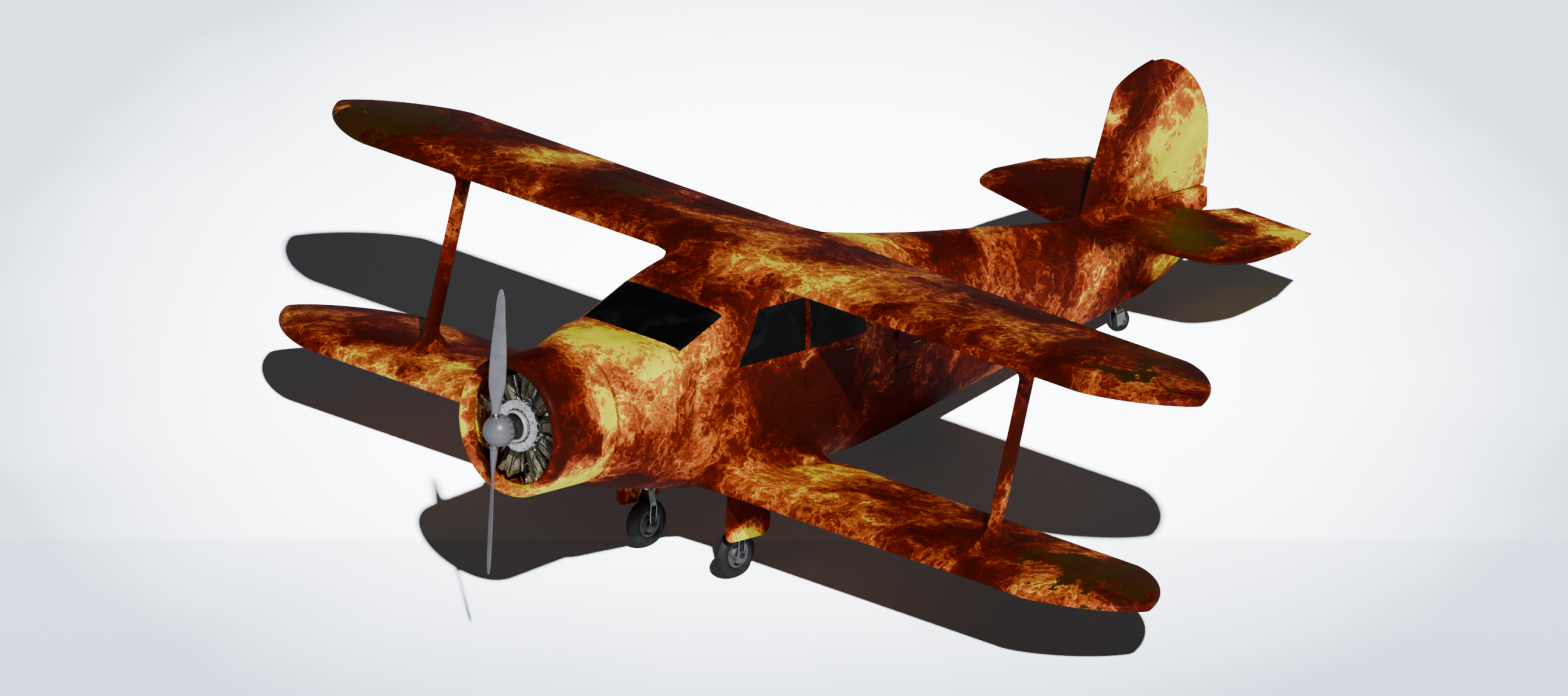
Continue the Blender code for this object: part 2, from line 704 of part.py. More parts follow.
def add_stabiliser(side, parent):
    """One tailplane half, hollowed along the elevator's hinge, with a hinge lug at its inner end."""
    sign = SIDES[side]
    tip_start = STABILISER_SEMI_SPAN - STABILISER_TIP_LENGTH
    stations = [STABILISER_ROOT_X + SEAT_GAP, mix(STABILISER_ROOT_X, tip_start, 0.45)]
    stations += [mix(tip_start, STABILISER_SEMI_SPAN, share) for share in (-0.45, 0.14, 0.6, 0.77, 0.89, 0.98)]
    rings = []
    for x in stations:
        tip = max(0.0, (x - tip_start) / STABILISER_TIP_LENGTH)
        ring = stabiliser_ring(x, 0.0, math.sqrt(1 - 0.72 * tip**2))
        rings.append([(sign * a, b, c) for a, b, c in ring])
    half = add_object(f"stabiliser_{side}", loft(rings), "paint", parent)
    radius = ELEVATOR_NOSE_RADIUS + MOVING_GAP
    outline = cove(ELEVATOR_HINGE_Y, STABILISER_HEIGHT, radius, 0.3)
    bay = prism(outline, sign * (STABILISER_ROOT_X - 0.01), sign * (STABILISER_SEMI_SPAN + 0.02))
    combine(half, add_helper(f"stabiliser_{side}_bay", bay, parent), "DIFFERENCE")
    lug_z = 0.5 * ELEVATOR_NOSE_RADIUS
    low = (sign * (STABILISER_ROOT_X + 0.003), ELEVATOR_HINGE_Y - 2 * radius, STABILISER_HEIGHT - lug_z)
    high = (sign * (ELEVATOR_INNER_X - SEAT_GAP), ELEVATOR_HINGE_Y + lug_z, STABILISER_HEIGHT + lug_z)
    combine(half, add_helper(f"stabiliser_{side}_lug", box(low, high), parent), "UNION")


def elevator_rear(x):
    """Rear edge of an elevator, cut away at both ends."""
    near = min((x - ELEVATOR_INNER_X) / ELEVATOR_CUT, (ELEVATOR_OUTER_X - x) / ELEVATOR_CUT, 1.0)
    return ELEVATOR_HINGE_Y + mix(0.03, ELEVATOR_CHORD, max(near, 0.0))


def add_elevator(side, parent):
    sign = SIDES[side]
    stations = (ELEVATOR_INNER_X, ELEVATOR_INNER_X + ELEVATOR_CUT,
                ELEVATOR_OUTER_X - ELEVATOR_CUT, ELEVATOR_OUTER_X)
    rings = []
    for x in stations:
        rear, nose, edge = elevator_rear(x), ELEVATOR_NOSE_RADIUS, TAIL_EDGE_THICKNESS / 2
        upper = [(rear, edge), (mix(ELEVATOR_HINGE_Y, rear, 0.5), mix(nose, edge, 0.45))]
        nose_arc = arc((ELEVATOR_HINGE_Y, 0), nose, 90, 270, 8)
        lower = [(y, -z) for y, z in reversed(upper)]
        outline = upper + nose_arc + lower
        rings.append([(sign * x, y, STABILISER_HEIGHT + z) for y, z in outline])
    middle = sign * (ELEVATOR_INNER_X + ELEVATOR_OUTER_X) / 2
    origin = (middle, ELEVATOR_HINGE_Y, STABILISER_HEIGHT)
    add_object(f"elevator_{side}", loft(rings), "paint", parent, origin)


def window_outline(front_y, rear_y, front_rake, rear_rake, sill, head, margin=0.0):
    """Corners of a side window, drawn inwards by margin."""
    return [
        (front_y + margin, sill + margin), (rear_y - margin, sill + margin),
        (rear_y - rear_rake - margin, head - margin), (front_y + front_rake + margin, head - margin),
    ]


def fixed_window(margin=0.0):
    rear = DOOR_FRONT_Y - MOVING_GAP - DOOR_FRAME
    return window_outline(WINDOW_FRONT_Y, rear, WINDOW_RAKE, 0.0, WINDOW_SILL, WINDOW_HEAD, margin)


def whole_window(margin=0.0):
    return window_outline(
        WINDOW_FRONT_Y, WINDOW_REAR_Y, WINDOW_RAKE, WINDOW_REAR_RAKE, WINDOW_SILL, WINDOW_HEAD, margin
    )


def door_window(margin=0.0):
    front = DOOR_FRONT_Y + DOOR_FRAME
    rear = WINDOW_REAR_Y - DOOR_FRAME
    return window_outline(front, rear, 0.0, WINDOW_REAR_RAKE, WINDOW_SILL, WINDOW_HEAD, margin)


def door_outline(margin=0.0):
    """Corners of the cabin door: upright front edge, level sill and a slanted rear edge."""
    top = WINDOW_HEAD + DOOR_FRAME + margin
    return [
        (DOOR_FRONT_Y - margin, DOOR_BOTTOM - margin), (DOOR_BOTTOM_REAR_Y + margin / 2, DOOR_BOTTOM - margin),
        (WINDOW_REAR_Y + DOOR_FRAME + margin, WINDOW_SILL), (WINDOW_REAR_Y - WINDOW_REAR_RAKE + margin, top),
        (DOOR_FRONT_Y - margin, top),
    ]


def baggage_outline(margin=0.0):
    low, high = BAGGAGE_FRONT_Y - margin, BAGGAGE_REAR_Y + margin
    return [(low, BAGGAGE_BOTTOM - margin), (high, BAGGAGE_BOTTOM - margin),
            (high, BAGGAGE_TOP + margin), (low, BAGGAGE_TOP + margin)]


def side_prism(outline, side):
    """A cutter through one side of the cabin."""
    sign = SIDES[side]
    return prism(outline, sign * 0.25, sign * 0.9)


def windscreen_outline(inset_y, half_width):
    """A slab square to the windscreen's plane, as rings from inside to outside."""
    base = Vector((0, WINDSCREEN_BASE_Y, WINDSCREEN_BASE_HEIGHT))
    along = Vector((0, WINDSCREEN_TOP_Y, WINDSCREEN_TOP_HEIGHT)) - base
    length = along.length
    along.normalize()
    outward = Vector((0, -along.z, along.y))
    rings = []
    for height in (-0.14, 0.10):
        corners = []
        for x, share in ((-1, 0), (1, 0), (1, 1), (-1, 1)):
            reach = inset_y if share == 0 else length - inset_y
            point = base + along * reach + outward * height
            corners.append((x * half_width, point.y, point.z))
        rings.append(corners)
    return loft(rings)


def hinge_axis(outline_front_y, low, high):
    """x of an upright door hinge, just outside the widest skin along the door's front edge."""
    widest = max(skin_x(outline_front_y, mix(low, high, i / 8)) for i in range(9))
    return widest + KNUCKLE_RADIUS + 0.002


def door_pivot(front_y, low, high):
    """The middle of a door's hinge axis."""
    return hinge_axis(front_y, low, high), front_y - MOVING_GAP / 2, mix(low, high, 0.5)


def door_hinges(name, front_y, low, high, parent, body, door):
    """Two knuckles on the body and two on the door, end to end on the hinge axis."""
    x, y, _ = door_pivot(front_y, low, high)
    for label, height in (("lower", mix(low, high, 0.18)), ("upper", mix(low, high, 0.72))):
        for owner, who, base, reach in (
            (body, "body", height, -1), (door, "door", height + KNUCKLE_LENGTH + SEAT_GAP, 1)
        ):
            top = base + KNUCKLE_LENGTH
            skin = min(skin_x(y, base), skin_x(y, top))
            bm = rod((x, y, base), (x, y, top), KNUCKLE_RADIUS, 10)
            knuckle = add_helper(f"{name}_{label}_{who}_knuckle", bm, parent)
            leaf_low = (skin - WALL * 0.6, y, base + 0.001)
            leaf_high = (x, y + reach * 1.6 * KNUCKLE_RADIUS, top - 0.001)
            leaf = add_helper(f"{name}_{label}_{who}_leaf", box(leaf_low, leaf_high), parent)
            combine(owner, leaf, "UNION")
            combine(owner, knuckle, "UNION")


def add_fuselage(parent):
    """The hollow body with its wing stubs, tail fairing, window holes and door openings."""
    body = add_object("fuselage", fuselage_solid(FIREWALL_Y, TAIL_END_Y), "paint", parent)
    for wing in (UPPER, LOWER):
        combine(body, add_helper(f"{wing.name}_stub", wing_stub(wing), parent), "UNION")
    stub = STABILISER_ROOT_X
    radius = ELEVATOR_NOSE_RADIUS + MOVING_GAP
    tail_stub = loft([stabiliser_ring(-stub, radius), stabiliser_ring(stub, radius)])
    combine(body, add_helper("tail_stub", tail_stub, parent), "UNION")
    combine(body, add_helper("tail_fairing", tail_fairing(), parent), "UNION")
    pin_top = FAIRING_TOP + 0.015 - SEAT_GAP
    pin = rod((0, RUDDER_HINGE_Y, FAIRING_TOP - 0.05), (0, RUDDER_HINGE_Y, pin_top), 0.012, 12)
    combine(body, add_helper("rudder_pin", pin, parent), "UNION")
    for side, sign in SIDES.items():
        foot = Vector((sign * TRACK / 2, WHEEL_Y, LEG_TOP_HEIGHT))
        boss = rod(foot, foot + Vector((0, 0, LEG_BOSS_DEPTH)), LEG_BOSS_RADIUS, 20)
        combine(body, add_helper(f"leg_boss_{side}", boss, parent), "UNION")
    cavity = fuselage_solid(CABIN_FRONT_Y, CABIN_REAR_Y, WALL, FLOOR_HEIGHT, CABIN_ROOF)
    cavity = add_helper("cabin_space", cavity, parent)
    combine(body, cavity, "DIFFERENCE")
    screen = windscreen_outline(WINDSCREEN_FRAME, WINDSCREEN_HALF_WIDTH)
    combine(body, add_helper("windscreen_hole", screen, parent), "DIFFERENCE")
    holes = (
        ("window_hole_left", fixed_window(), "left"), ("window_hole_right", whole_window(), "right"),
        ("door_hole", door_outline(MOVING_GAP), "left"), ("baggage_hole", baggage_outline(MOVING_GAP), "left"),
    )
    for name, outline, side in holes:
        combine(body, add_helper(name, side_prism(outline, side), parent), "DIFFERENCE")
    return body, cavity


def tail_fairing():
    """The slim rear end that carries the fin and runs out under the rudder."""
    plan = [(FIN_BASE_FRONT_Y - 0.15, 0.02), (FIN_BASE_FRONT_Y, 0.055), (FIN_BASE_FRONT_Y + 0.25, 0.075),
            (RUDDER_HINGE_Y, 0.065), (TAIL_END_Y - 0.1, FAIRING_HALF_WIDTH), (TAIL_END_Y, FAIRING_HALF_WIDTH)]
    outline = [(x, y) for y, x in plan] + [(-x, y) for y, x in reversed(plan)]
    return loft([[(x, y, z) for x, y in outline] for z in (FAIRING_BOTTOM + 0.02, FAIRING_TOP)])


def glass_skin(name, start, end, parent):
    """A thin shell just inside the outer skin, from which the glass panes are cut."""
    outer = fuselage_solid(start, end, GLASS_RECESS)
    inner = add_helper(f"{name}_inner", fuselage_solid(start - 0.1, end + 0.1, GLASS_RECESS + GLASS_THICKNESS),
                       parent)
    return outer, inner


def add_pane(name, start, end, shape, parent, origin=(0.0, 0.0, 0.0)):
    """A window pane: the thin shell inside an outline that clears its hole."""
    outer, inner = glass_skin(name, start, end, parent)
    pane = add_object(name, outer, "glass", parent, origin)
    combine(pane, inner, "DIFFERENCE")
    combine(pane, add_helper(f"{name}_shape", shape, parent), "INTERSECT")
    return pane


def add_windows(parent):
    """The windscreen, the side windows and the window in the cabin door."""
    shape = windscreen_outline(WINDSCREEN_FRAME + SEAT_GAP, WINDSCREEN_HALF_WIDTH - SEAT_GAP)
    add_pane("windscreen", WINDSCREEN_BASE_Y - 0.2, WINDSCREEN_TOP_Y + 0.2, shape, parent)
    shape = side_prism(fixed_window(SEAT_GAP), "left")
    add_pane("side_window_left", WINDOW_FRONT_Y - 0.1, DOOR_FRONT_Y + 0.1, shape, parent)
    shape = side_prism(whole_window(SEAT_GAP), "right")
    add_pane("side_window_right", WINDOW_FRONT_Y - 0.1, WINDOW_REAR_Y + 0.1, shape, parent)
    shape = side_prism(door_window(SEAT_GAP), "left")
    pivot = door_pivot(DOOR_FRONT_Y, DOOR_BOTTOM, WINDOW_HEAD)
    add_pane("door_window", DOOR_FRONT_Y - 0.1, WINDOW_REAR_Y + 0.1, shape, parent, pivot)


def add_doors(body, cavity, parent):
    """The cabin door and the baggage door, each a piece of the body's own wall."""
    for name, outline, hole, low, high in (
        ("cabin_door", door_outline(), door_window(), DOOR_BOTTOM, WINDOW_HEAD),
        ("baggage_door", baggage_outline(), None, BAGGAGE_BOTTOM, BAGGAGE_TOP),
    ):
        start, end = outline[0][0] - 0.1, max(y for y, _ in outline) + 0.1
        pivot = door_pivot(outline[0][0], low, high)
        door = add_object(name, fuselage_solid(start, end), "paint", parent, pivot)
        combine(door, cavity, "DIFFERENCE")
        combine(door, add_helper(f"{name}_shape", side_prism(outline, "left"), parent), "INTERSECT")
        if hole:
            cutter = side_prism(hole, "left")
            combine(door, add_helper(f"{name}_window_hole", cutter, parent), "DIFFERENCE")
        door_hinges(name, outline[0][0], low, high, parent, body, door)


def add_cowl(parent):
    """The round engine cowl: a rolled lip in front and a plain rear edge."""
    lip = (COWL_RADIUS - COWL_MOUTH_RADIUS) / 2
    lip_centre = (COWL_MOUTH_RADIUS + lip, COWL_FRONT_Y + lip * 1.6)
    outer = []
    for i in range(5):
        angle = math.pi / 2 * i / 4
        outer.append((lip_centre[0] + lip * math.sin(angle) * 0.9, lip_centre[1] - lip * 1.6 * math.cos(angle)))
    length = COWL_REAR_Y - COWL_FRONT_Y
    outer += [(COWL_RADIUS, COWL_FRONT_Y + 0.38 * length), (COWL_RADIUS, COWL_REAR_Y)]
    wall = COWL_WALL / 2
    inner = [(COWL_RADIUS - wall, COWL_REAR_Y), (COWL_RADIUS - COWL_WALL, COWL_REAR_Y - 0.03)]
    inner += [(COWL_RADIUS - COWL_WALL, COWL_FRONT_Y + 0.29 * length)]
    inner += [(COWL_MOUTH_RADIUS + 0.01, COWL_FRONT_Y + 0.176 * length)]
    inner += [(COWL_MOUTH_RADIUS, lip_centre[1])]
    for i in range(1, 4):
        angle = math.pi / 2 * i / 4
        inner.append((lip_centre[0] - lip * math.cos(angle), lip_centre[1] - lip * 1.6 * math.sin(angle)))
    bm = turned(outer + inner, (0, 0, 0), (0, 1, 0), COWL_SIDES)
    add_object("cowl", bm, "paint", parent)


def add_engine(parent):
    """The radial engine: crankcase, finned cylinders, rocker boxes that carry the cowl, and push rods."""
    rear_y = FIREWALL_Y - SEAT_GAP
    front = CRANKCASE_FRONT_Y
    nose_y = BLADE_Y + DOME_RADIUS * 0.2 + HUB_LENGTH
    profile = [
        (0, nose_y + SEAT_GAP), (SHAFT_COLLAR_RADIUS, nose_y + SEAT_GAP),
        (SHAFT_COLLAR_RADIUS, front - 0.05), (0.125, front - 0.035), (0.125, front),
        (CRANKCASE_RADIUS, front), (CRANKCASE_RADIUS, front + 0.03), (0.19, front + 0.05),
        (0.19, CYLINDER_Y + 0.12), (ENGINE_REAR_RADIUS, CYLINDER_Y + 0.15), (ENGINE_REAR_RADIUS, rear_y),
        (0, rear_y),
    ]
    engine = add_object("engine", turned(profile, (0, 0, 0), (0, 1, 0), 36), "engine", parent)
    barrels, boxes, rods = bmesh.new(), bmesh.new(), bmesh.new()
    posts = COWL_RADIUS - COWL_WALL - POST_HALF_WIDTH * math.tan(math.pi / COWL_SIDES) - SEAT_GAP
    for number in range(CYLINDERS):
        turn = Matrix.Rotation(math.tau * number / CYLINDERS, 4, "Y")
        pitch = (BARREL_TOP - BARREL_FINS_START) / BARREL_FINS
        outline = [(0, BARREL_BASE), (CYLINDER_NECK_RADIUS, BARREL_BASE),
                   (CYLINDER_NECK_RADIUS, BARREL_FINS_START - 0.01)]
        for fin in range(BARREL_FINS):
            low = BARREL_FINS_START + fin * pitch
            outline += [(CYLINDER_RADIUS, low), (CYLINDER_RADIUS + FIN_HEIGHT, low + 0.25 * pitch),
                        (CYLINDER_RADIUS + FIN_HEIGHT, low + 0.6 * pitch), (CYLINDER_RADIUS, low + 0.85 * pitch)]
        outline += [(CYLINDER_RADIUS, BARREL_TOP), (0.055, HEAD_RADIUS), (0, HEAD_RADIUS)]
        piece = turned(outline, (0, CYLINDER_Y, 0), (0, 0, 1), 10)
        add_turned(barrels, piece, turn)
        piece = box((-0.075, CYLINDER_Y - 0.09, 0.40), (0.075, CYLINDER_Y + 0.06, 0.475))
        add_turned(boxes, piece, turn)
        half = POST_HALF_WIDTH
        piece = box((-half, CYLINDER_Y - half, 0.45), (half, CYLINDER_Y + half, posts))
        add_turned(rods, piece, turn)
        for x in (-0.055, 0.055):
            foot = (x * 0.6, front + 0.045, CRANKCASE_RADIUS - 0.03)
            head = (x, CYLINDER_Y - 0.085, 0.41)
            add_turned(rods, rod(foot, head, PUSHROD_RADIUS, 6), turn)
    for name, bm in (("barrels", barrels), ("rocker_boxes", boxes), ("push_rods", rods)):
        combine(engine, add_helper(name, bm, parent), "UNION")


def add_turned(target, piece, turn):
    """Adds a turned copy of one bmesh to another."""
    bmesh.ops.remove_doubles(piece, verts=piece.verts, dist=0.00001)
    bmesh.ops.recalc_face_normals(piece, faces=piece.faces)
    bmesh.ops.transform(piece, matrix=turn, verts=piece.verts)
    mesh = bpy.data.meshes.new("piece")
    piece.to_mesh(mesh)
    piece.free()
    target.from_mesh(mesh)
    bpy.data.meshes.remove(mesh)


def blade_ring(share):
    """A section of the upper blade: a round shank that flattens, widens and twists back."""
    start = DOME_RADIUS * 0.62
    radius = mix(start, BLADE_LENGTH, share)
    flat = smooth_share(share, 0.04, 0.30)
    width = BLADE_WIDTH * (0.62 + 0.38 * math.sin(math.pi * min(share * 1.25, 1.0) ** 0.9))
    width *= math.sqrt(max(1 - max(0.0, (share - 0.80) / 0.205) ** 2, 0.02))
    half_width = mix(BLADE_ROOT_RADIUS, width / 2, flat)
    half_thickness = mix(BLADE_ROOT_RADIUS, BLADE_THICKNESS / 2 * mix(1.0, 0.35, share), flat)
    twist = math.radians(mix(62, 18, share ** 0.7))
    ring = []
    for i in range(BLADE_SIDES):
        angle = math.tau * i / BLADE_SIDES
        a, b = half_width * math.cos(angle), half_thickness * math.sin(angle)
        x = a * math.cos(twist) - b * math.sin(twist)
        y = a * math.sin(twist) + b * math.cos(twist)
        ring.append((x, BLADE_Y + y, radius))
    return ring


def add_propeller(pivot):
    """The hub with its dome, and two blades. All turn about the thrust line."""
    rear_y = BLADE_Y + DOME_RADIUS * 0.2 + HUB_LENGTH
    profile = [(0, 0)]
    for i in range(1, 8):
        angle = math.pi / 2 * i / 7
        profile.append((DOME_RADIUS * math.sin(angle), DOME_RADIUS * (1 - math.cos(angle))))
    hub_rear = DOME_RADIUS + HUB_LENGTH * 0.45
    profile += [(DOME_RADIUS, hub_rear), (SHAFT_RADIUS, hub_rear), (SHAFT_RADIUS, rear_y), (0, rear_y)]
    hub = add_object("prop_hub", turned(profile, (0, 0, 0), (0, 1, 0), 24), "propeller", pivot)
    shares = (0.0, 0.04, 0.10, 0.18, 0.26, 0.38, 0.52, 0.66, 0.78, 0.88, 0.95, 1.0)
    socket = DOME_RADIUS * 0.62 - SEAT_GAP
    for name, sign in (("blade_upper", 1), ("blade_lower", -1)):
        rings = [[(sign * x, y, sign * z) for x, y, z in blade_ring(share)] for share in shares]
        add_object(name, loft(rings), "propeller", pivot)
        bore = rod((0, BLADE_Y, sign * socket), (0, BLADE_Y, sign * DOME_RADIUS * 2),
                   (BLADE_ROOT_RADIUS + SEAT_GAP) / math.cos(math.pi / BLADE_SIDES), BLADE_SIDES)
        combine(hub, add_helper(f"{name}_socket", bore, pivot), "DIFFERENCE")


def tyre_profile(radius, rim, width):
    """Outline of a tyre: an oval section that stops at the rim."""
    half = width / 2
    depth = (radius - rim) / 2
    middle = rim + depth
    outline = []
    for i in range(9):
        angle = math.radians(-125 + 250 * i / 8)
        outline.append((middle + depth * math.cos(angle), half * math.sin(angle)))
    lowest = min(r for r, _ in outline)
    scale = (radius - rim) / (radius - lowest)
    return [(radius - (radius - r) * scale, along) for r, along in outline]


def add_wheel(side, pivot, centre):
    """A main wheel: the tyre, and a dished hub with a bore for its axle."""
    x = centre[0]
    profile = tyre_profile(WHEEL_RADIUS, RIM_RADIUS, TYRE_WIDTH)
    bm = turned(profile, (0, 0, 0), (1, 0, 0), WHEEL_SIDES)
    bmesh.ops.translate(bm, verts=bm.verts, vec=centre)
    add_object(f"tyre_{side}", bm, "rubber", pivot, centre)
    edge = RIM_RADIUS - SEAT_GAP
    bore = (AXLE_RADIUS + SEAT_GAP) / math.cos(math.pi / WHEEL_SIDES)
    half = TYRE_WIDTH * 0.36
    outline = [(edge, -half), (edge, half), (edge - 0.02, half), (0.085, 0.012), (0.05, 0.012), (0.045, 0.038),
               (bore, 0.038), (bore, -0.038), (0.045, -0.038), (0.05, -0.012), (0.085, -0.012),
               (edge - 0.02, -half)]
    bm = turned(outline, (0, 0, 0), (1, 0, 0), WHEEL_SIDES)
    bmesh.ops.translate(bm, verts=bm.verts, vec=centre)
    add_object(f"hub_{side}", bm, "hub", pivot, centre)
    return x


def plate_path(points, width_low, width_high, thickness):
    """A bent flat bar: points are (x, z) of its middle line, and the width runs along y."""
    left, right = [], []
    for i, (x, z) in enumerate(points):
        before = Vector(points[max(i - 1, 0)])
        after = Vector(points[min(i + 1, len(points) - 1)])
        along = (after - before).normalized()
        across = Vector((-along.y, along.x)) * thickness / 2
        left.append((x + across.x, z + across.y))
        right.append((x - across.x, z - across.y))
    outline = left + list(reversed(right))
    return loft([[(x, y, z) for x, z in outline] for y in (width_low, width_high)])


def add_gear(side, parent):
    """One main leg with its fork and axle, and the door that it carries."""
    sign = SIDES[side]
    x = sign * TRACK / 2
    top = (x, WHEEL_Y, LEG_TOP_HEIGHT - SEAT_GAP)
    leg = rod((x, WHEEL_Y, FORK_CROWN_HEIGHT), top, LEG_RADIUS, 20)
    leg = add_object(f"gear_leg_{side}", leg, "steel", parent)
    reach = TYRE_WIDTH / 2 + FORK_CLEARANCE
    bend = WHEEL_HEIGHT + WHEEL_RADIUS * 0.78
    points = [(x - reach, WHEEL_HEIGHT - 0.03), (x - reach, bend), (x - 0.4 * reach, FORK_CROWN_HEIGHT + 0.02),
              (x + 0.4 * reach, FORK_CROWN_HEIGHT + 0.02), (x + reach, bend), (x + reach, WHEEL_HEIGHT - 0.03)]
    half = FORK_PLATE_WIDTH / 2
    fork = plate_path(points, WHEEL_Y - half, WHEEL_Y + half, FORK_PLATE)
    combine(leg, add_helper(f"fork_{side}", fork, parent), "UNION")
    end = reach + FORK_PLATE
    axle = rod((x - end - 0.01, WHEEL_Y, WHEEL_HEIGHT), (x + end + 0.01, WHEEL_Y, WHEEL_HEIGHT), AXLE_RADIUS, 20)
    combine(leg, add_helper(f"axle_{side}", axle, parent), "UNION")
    door_inner = sign * (GEAR_DOOR_X - GEAR_DOOR_THICKNESS / 2)
    arm_z = -0.92
    arm = rod((x, WHEEL_Y, arm_z), (door_inner - sign * SEAT_GAP, WHEEL_Y, arm_z), 0.016, 12)
    combine(leg, add_helper(f"door_arm_{side}", arm, parent), "UNION")
    corner = 0.09
    outline = [(GEAR_DOOR_FRONT_Y, gear_door_top(GEAR_DOOR_FRONT_Y))]
    outline += arc((GEAR_DOOR_FRONT_Y + corner, GEAR_DOOR_BOTTOM + corner), corner, 180, 270, 6)
    outline += arc((GEAR_DOOR_REAR_Y - corner, GEAR_DOOR_BOTTOM + corner), corner, 270, 360, 6)
    for i in range(5):
        y = mix(GEAR_DOOR_REAR_Y, GEAR_DOOR_FRONT_Y, i / 4)
        outline.append((y, gear_door_top(y)))
    half = GEAR_DOOR_THICKNESS / 2
    panel = prism(outline[1:], sign * (GEAR_DOOR_X - half), sign * (GEAR_DOOR_X + half))
    add_object(f"gear_door_{side}", panel, "paint", parent)


def gear_door_top(y):
    """The door ends a little below the lower wing's fillet."""
    lowest = min(LOWER_HEIGHT, wing_skin(LOWER, 0, max(y, LOWER_FRONT), -1))
    return lowest - 0.035


def add_tail_wheel(fork_pivot, wheel_pivot, centre, stem_top):
    """The tail wheel and its swivelling fork, drawn with z square to the ground."""
    profile = tyre_profile(TAIL_WHEEL_RADIUS, TAIL_RIM_RADIUS, TAIL_TYRE_WIDTH)
    add_object("tail_tyre", turned(profile, (0, 0, 0), (1, 0, 0), TAIL_WHEEL_SIDES), "rubber", wheel_pivot)
    edge = TAIL_RIM_RADIUS - SEAT_GAP
    bore = (TAIL_AXLE_RADIUS + SEAT_GAP) / math.cos(math.pi / TAIL_WHEEL_SIDES)
    half = TAIL_TYRE_WIDTH * 0.36
    outline = [(edge, -half), (edge, half), (edge - 0.008, half), (0.022, 0.008), (0.020, 0.026), (bore, 0.026),
               (bore, -0.026), (0.020, -0.026), (0.022, -0.008), (edge - 0.008, -half)]
    add_object("tail_hub", turned(outline, (0, 0, 0), (1, 0, 0), TAIL_WHEEL_SIDES), "hub", wheel_pivot)
    reach = TAIL_TYRE_WIDTH / 2 + 0.008
    plate = 0.006
    crown = centre.z + TAIL_WHEEL_RADIUS + 0.014
    points = [(-reach, centre.z - 0.016), (-reach, crown - 0.02), (-reach * 0.55, crown + plate),
              (reach * 0.55, crown + plate), (reach, crown - 0.02), (reach, centre.z - 0.016)]
    fork = plate_path(points, -0.030, TAIL_TRAIL + 0.016, plate)
    fork = add_object("tail_fork", fork, "steel", fork_pivot)
    stem = rod((0, 0, crown + plate * 0.5), (0, 0, stem_top), TAIL_STEM_RADIUS, 16)
    combine(fork, add_helper("tail_stem", stem, fork_pivot), "UNION")
    end = reach + plate + 0.006
    axle = rod((-end, TAIL_TRAIL, centre.z), (end, TAIL_TRAIL, centre.z), TAIL_AXLE_RADIUS, 14)
    combine(fork, add_helper("tail_axle", axle, fork_pivot), "UNION")


def add_furniture(parent):
    """The instrument panel, three seats and the control column."""
    floor = FLOOR_HEIGHT + SEAT_GAP
    rear = PANEL_Y + PANEL_THICKNESS
    inset = WALL + 2.4 * SEAT_GAP
    space = fuselage_solid(CABIN_FRONT_Y, CABIN_REAR_Y, inset, FLOOR_HEIGHT, CABIN_ROOF)
    panel = add_object("instrument_panel", space, "panel", parent)
    slab = box((-1, PANEL_Y, PANEL_BOTTOM), (1, rear, windscreen_ceiling(PANEL_Y)))
    combine(panel, add_helper("panel_slab", slab, parent), "INTERSECT")
    seats = (
        ("seat_front_left", SEAT_X, SEAT_WIDTH, FRONT_SEAT_Y), ("seat_front_right", -SEAT_X, SEAT_WIDTH, FRONT_SEAT_Y),
        ("seat_rear", 0.0, REAR_SEAT_WIDTH, REAR_SEAT_Y),
    )
    for name, x, width, y in seats:
        outline = [
            (y, floor), (y + SEAT_DEPTH, floor), (y + SEAT_DEPTH + 0.16, floor + SEAT_HEIGHT + SEAT_BACK),
            (y + SEAT_DEPTH + 0.05, floor + SEAT_HEIGHT + SEAT_BACK), (y + SEAT_DEPTH - 0.09, floor + SEAT_HEIGHT),
            (y - 0.04, floor + SEAT_HEIGHT), (y - 0.04, floor + SEAT_HEIGHT - SEAT_CUSHION),
        ]
        add_object(name, prism(outline, x - width / 2, x + width / 2), "leather", parent)
    base_y = FRONT_SEAT_Y - 0.32
    column = rod((0, base_y, floor), (0, base_y, 0.12), 0.020, 12)
    column = add_object("control_column", column, "steel", parent)
    wheel = turned(arc((0.13, 0), 0.012, 0, 315, 7), (0, base_y, 0.12 + 0.13), (0, 1, 0), 14)
    combine(column, add_helper("control_wheel", wheel, parent), "UNION")


def windscreen_ceiling(y):
    """Top of the cabin space at y, under the windscreen, less a small clearance."""
    return fuselage_value(y, "top") - WALL - 0.02


def pitch_on_wheels():
    """Angle that the nose points up when all three wheels stand on level ground."""
    along = TAIL_WHEEL_Y - WHEEL_Y
    rise = TAIL_WHEEL_HEIGHT - WHEEL_HEIGHT
    base = math.hypot(along, rise)
    return math.atan2(rise, along) - math.asin((TAIL_WHEEL_RADIUS - WHEEL_RADIUS) / base)


def add_empty(name, parent, location, tilt=0.0):
    made = bpy.data.objects.new(name, None)
    made.location = location
    made.rotation_euler = (tilt, 0, 0)
    made.parent = parent
    bpy.context.scene.collection.objects.link(made)
    return made


def stand_on_ground(attitude):
    """Moves the airframe so that its wheels touch z = 0 and its bounding box is centred on the origin."""
    bpy.context.view_layer.update()
    graph = bpy.context.evaluated_depsgraph_get()
    low_y, high_y = math.inf, -math.inf
    for item in bpy.data.objects:
        if item.type != "MESH" or item.hide_render:
            continue
        evaluated = item.evaluated_get(graph)
        for corner in evaluated.data.vertices:
            y = (evaluated.matrix_world @ corner.co).y
            low_y, high_y = min(low_y, y), max(high_y, y)
    attitude.location.y -= (low_y + high_y) / 2


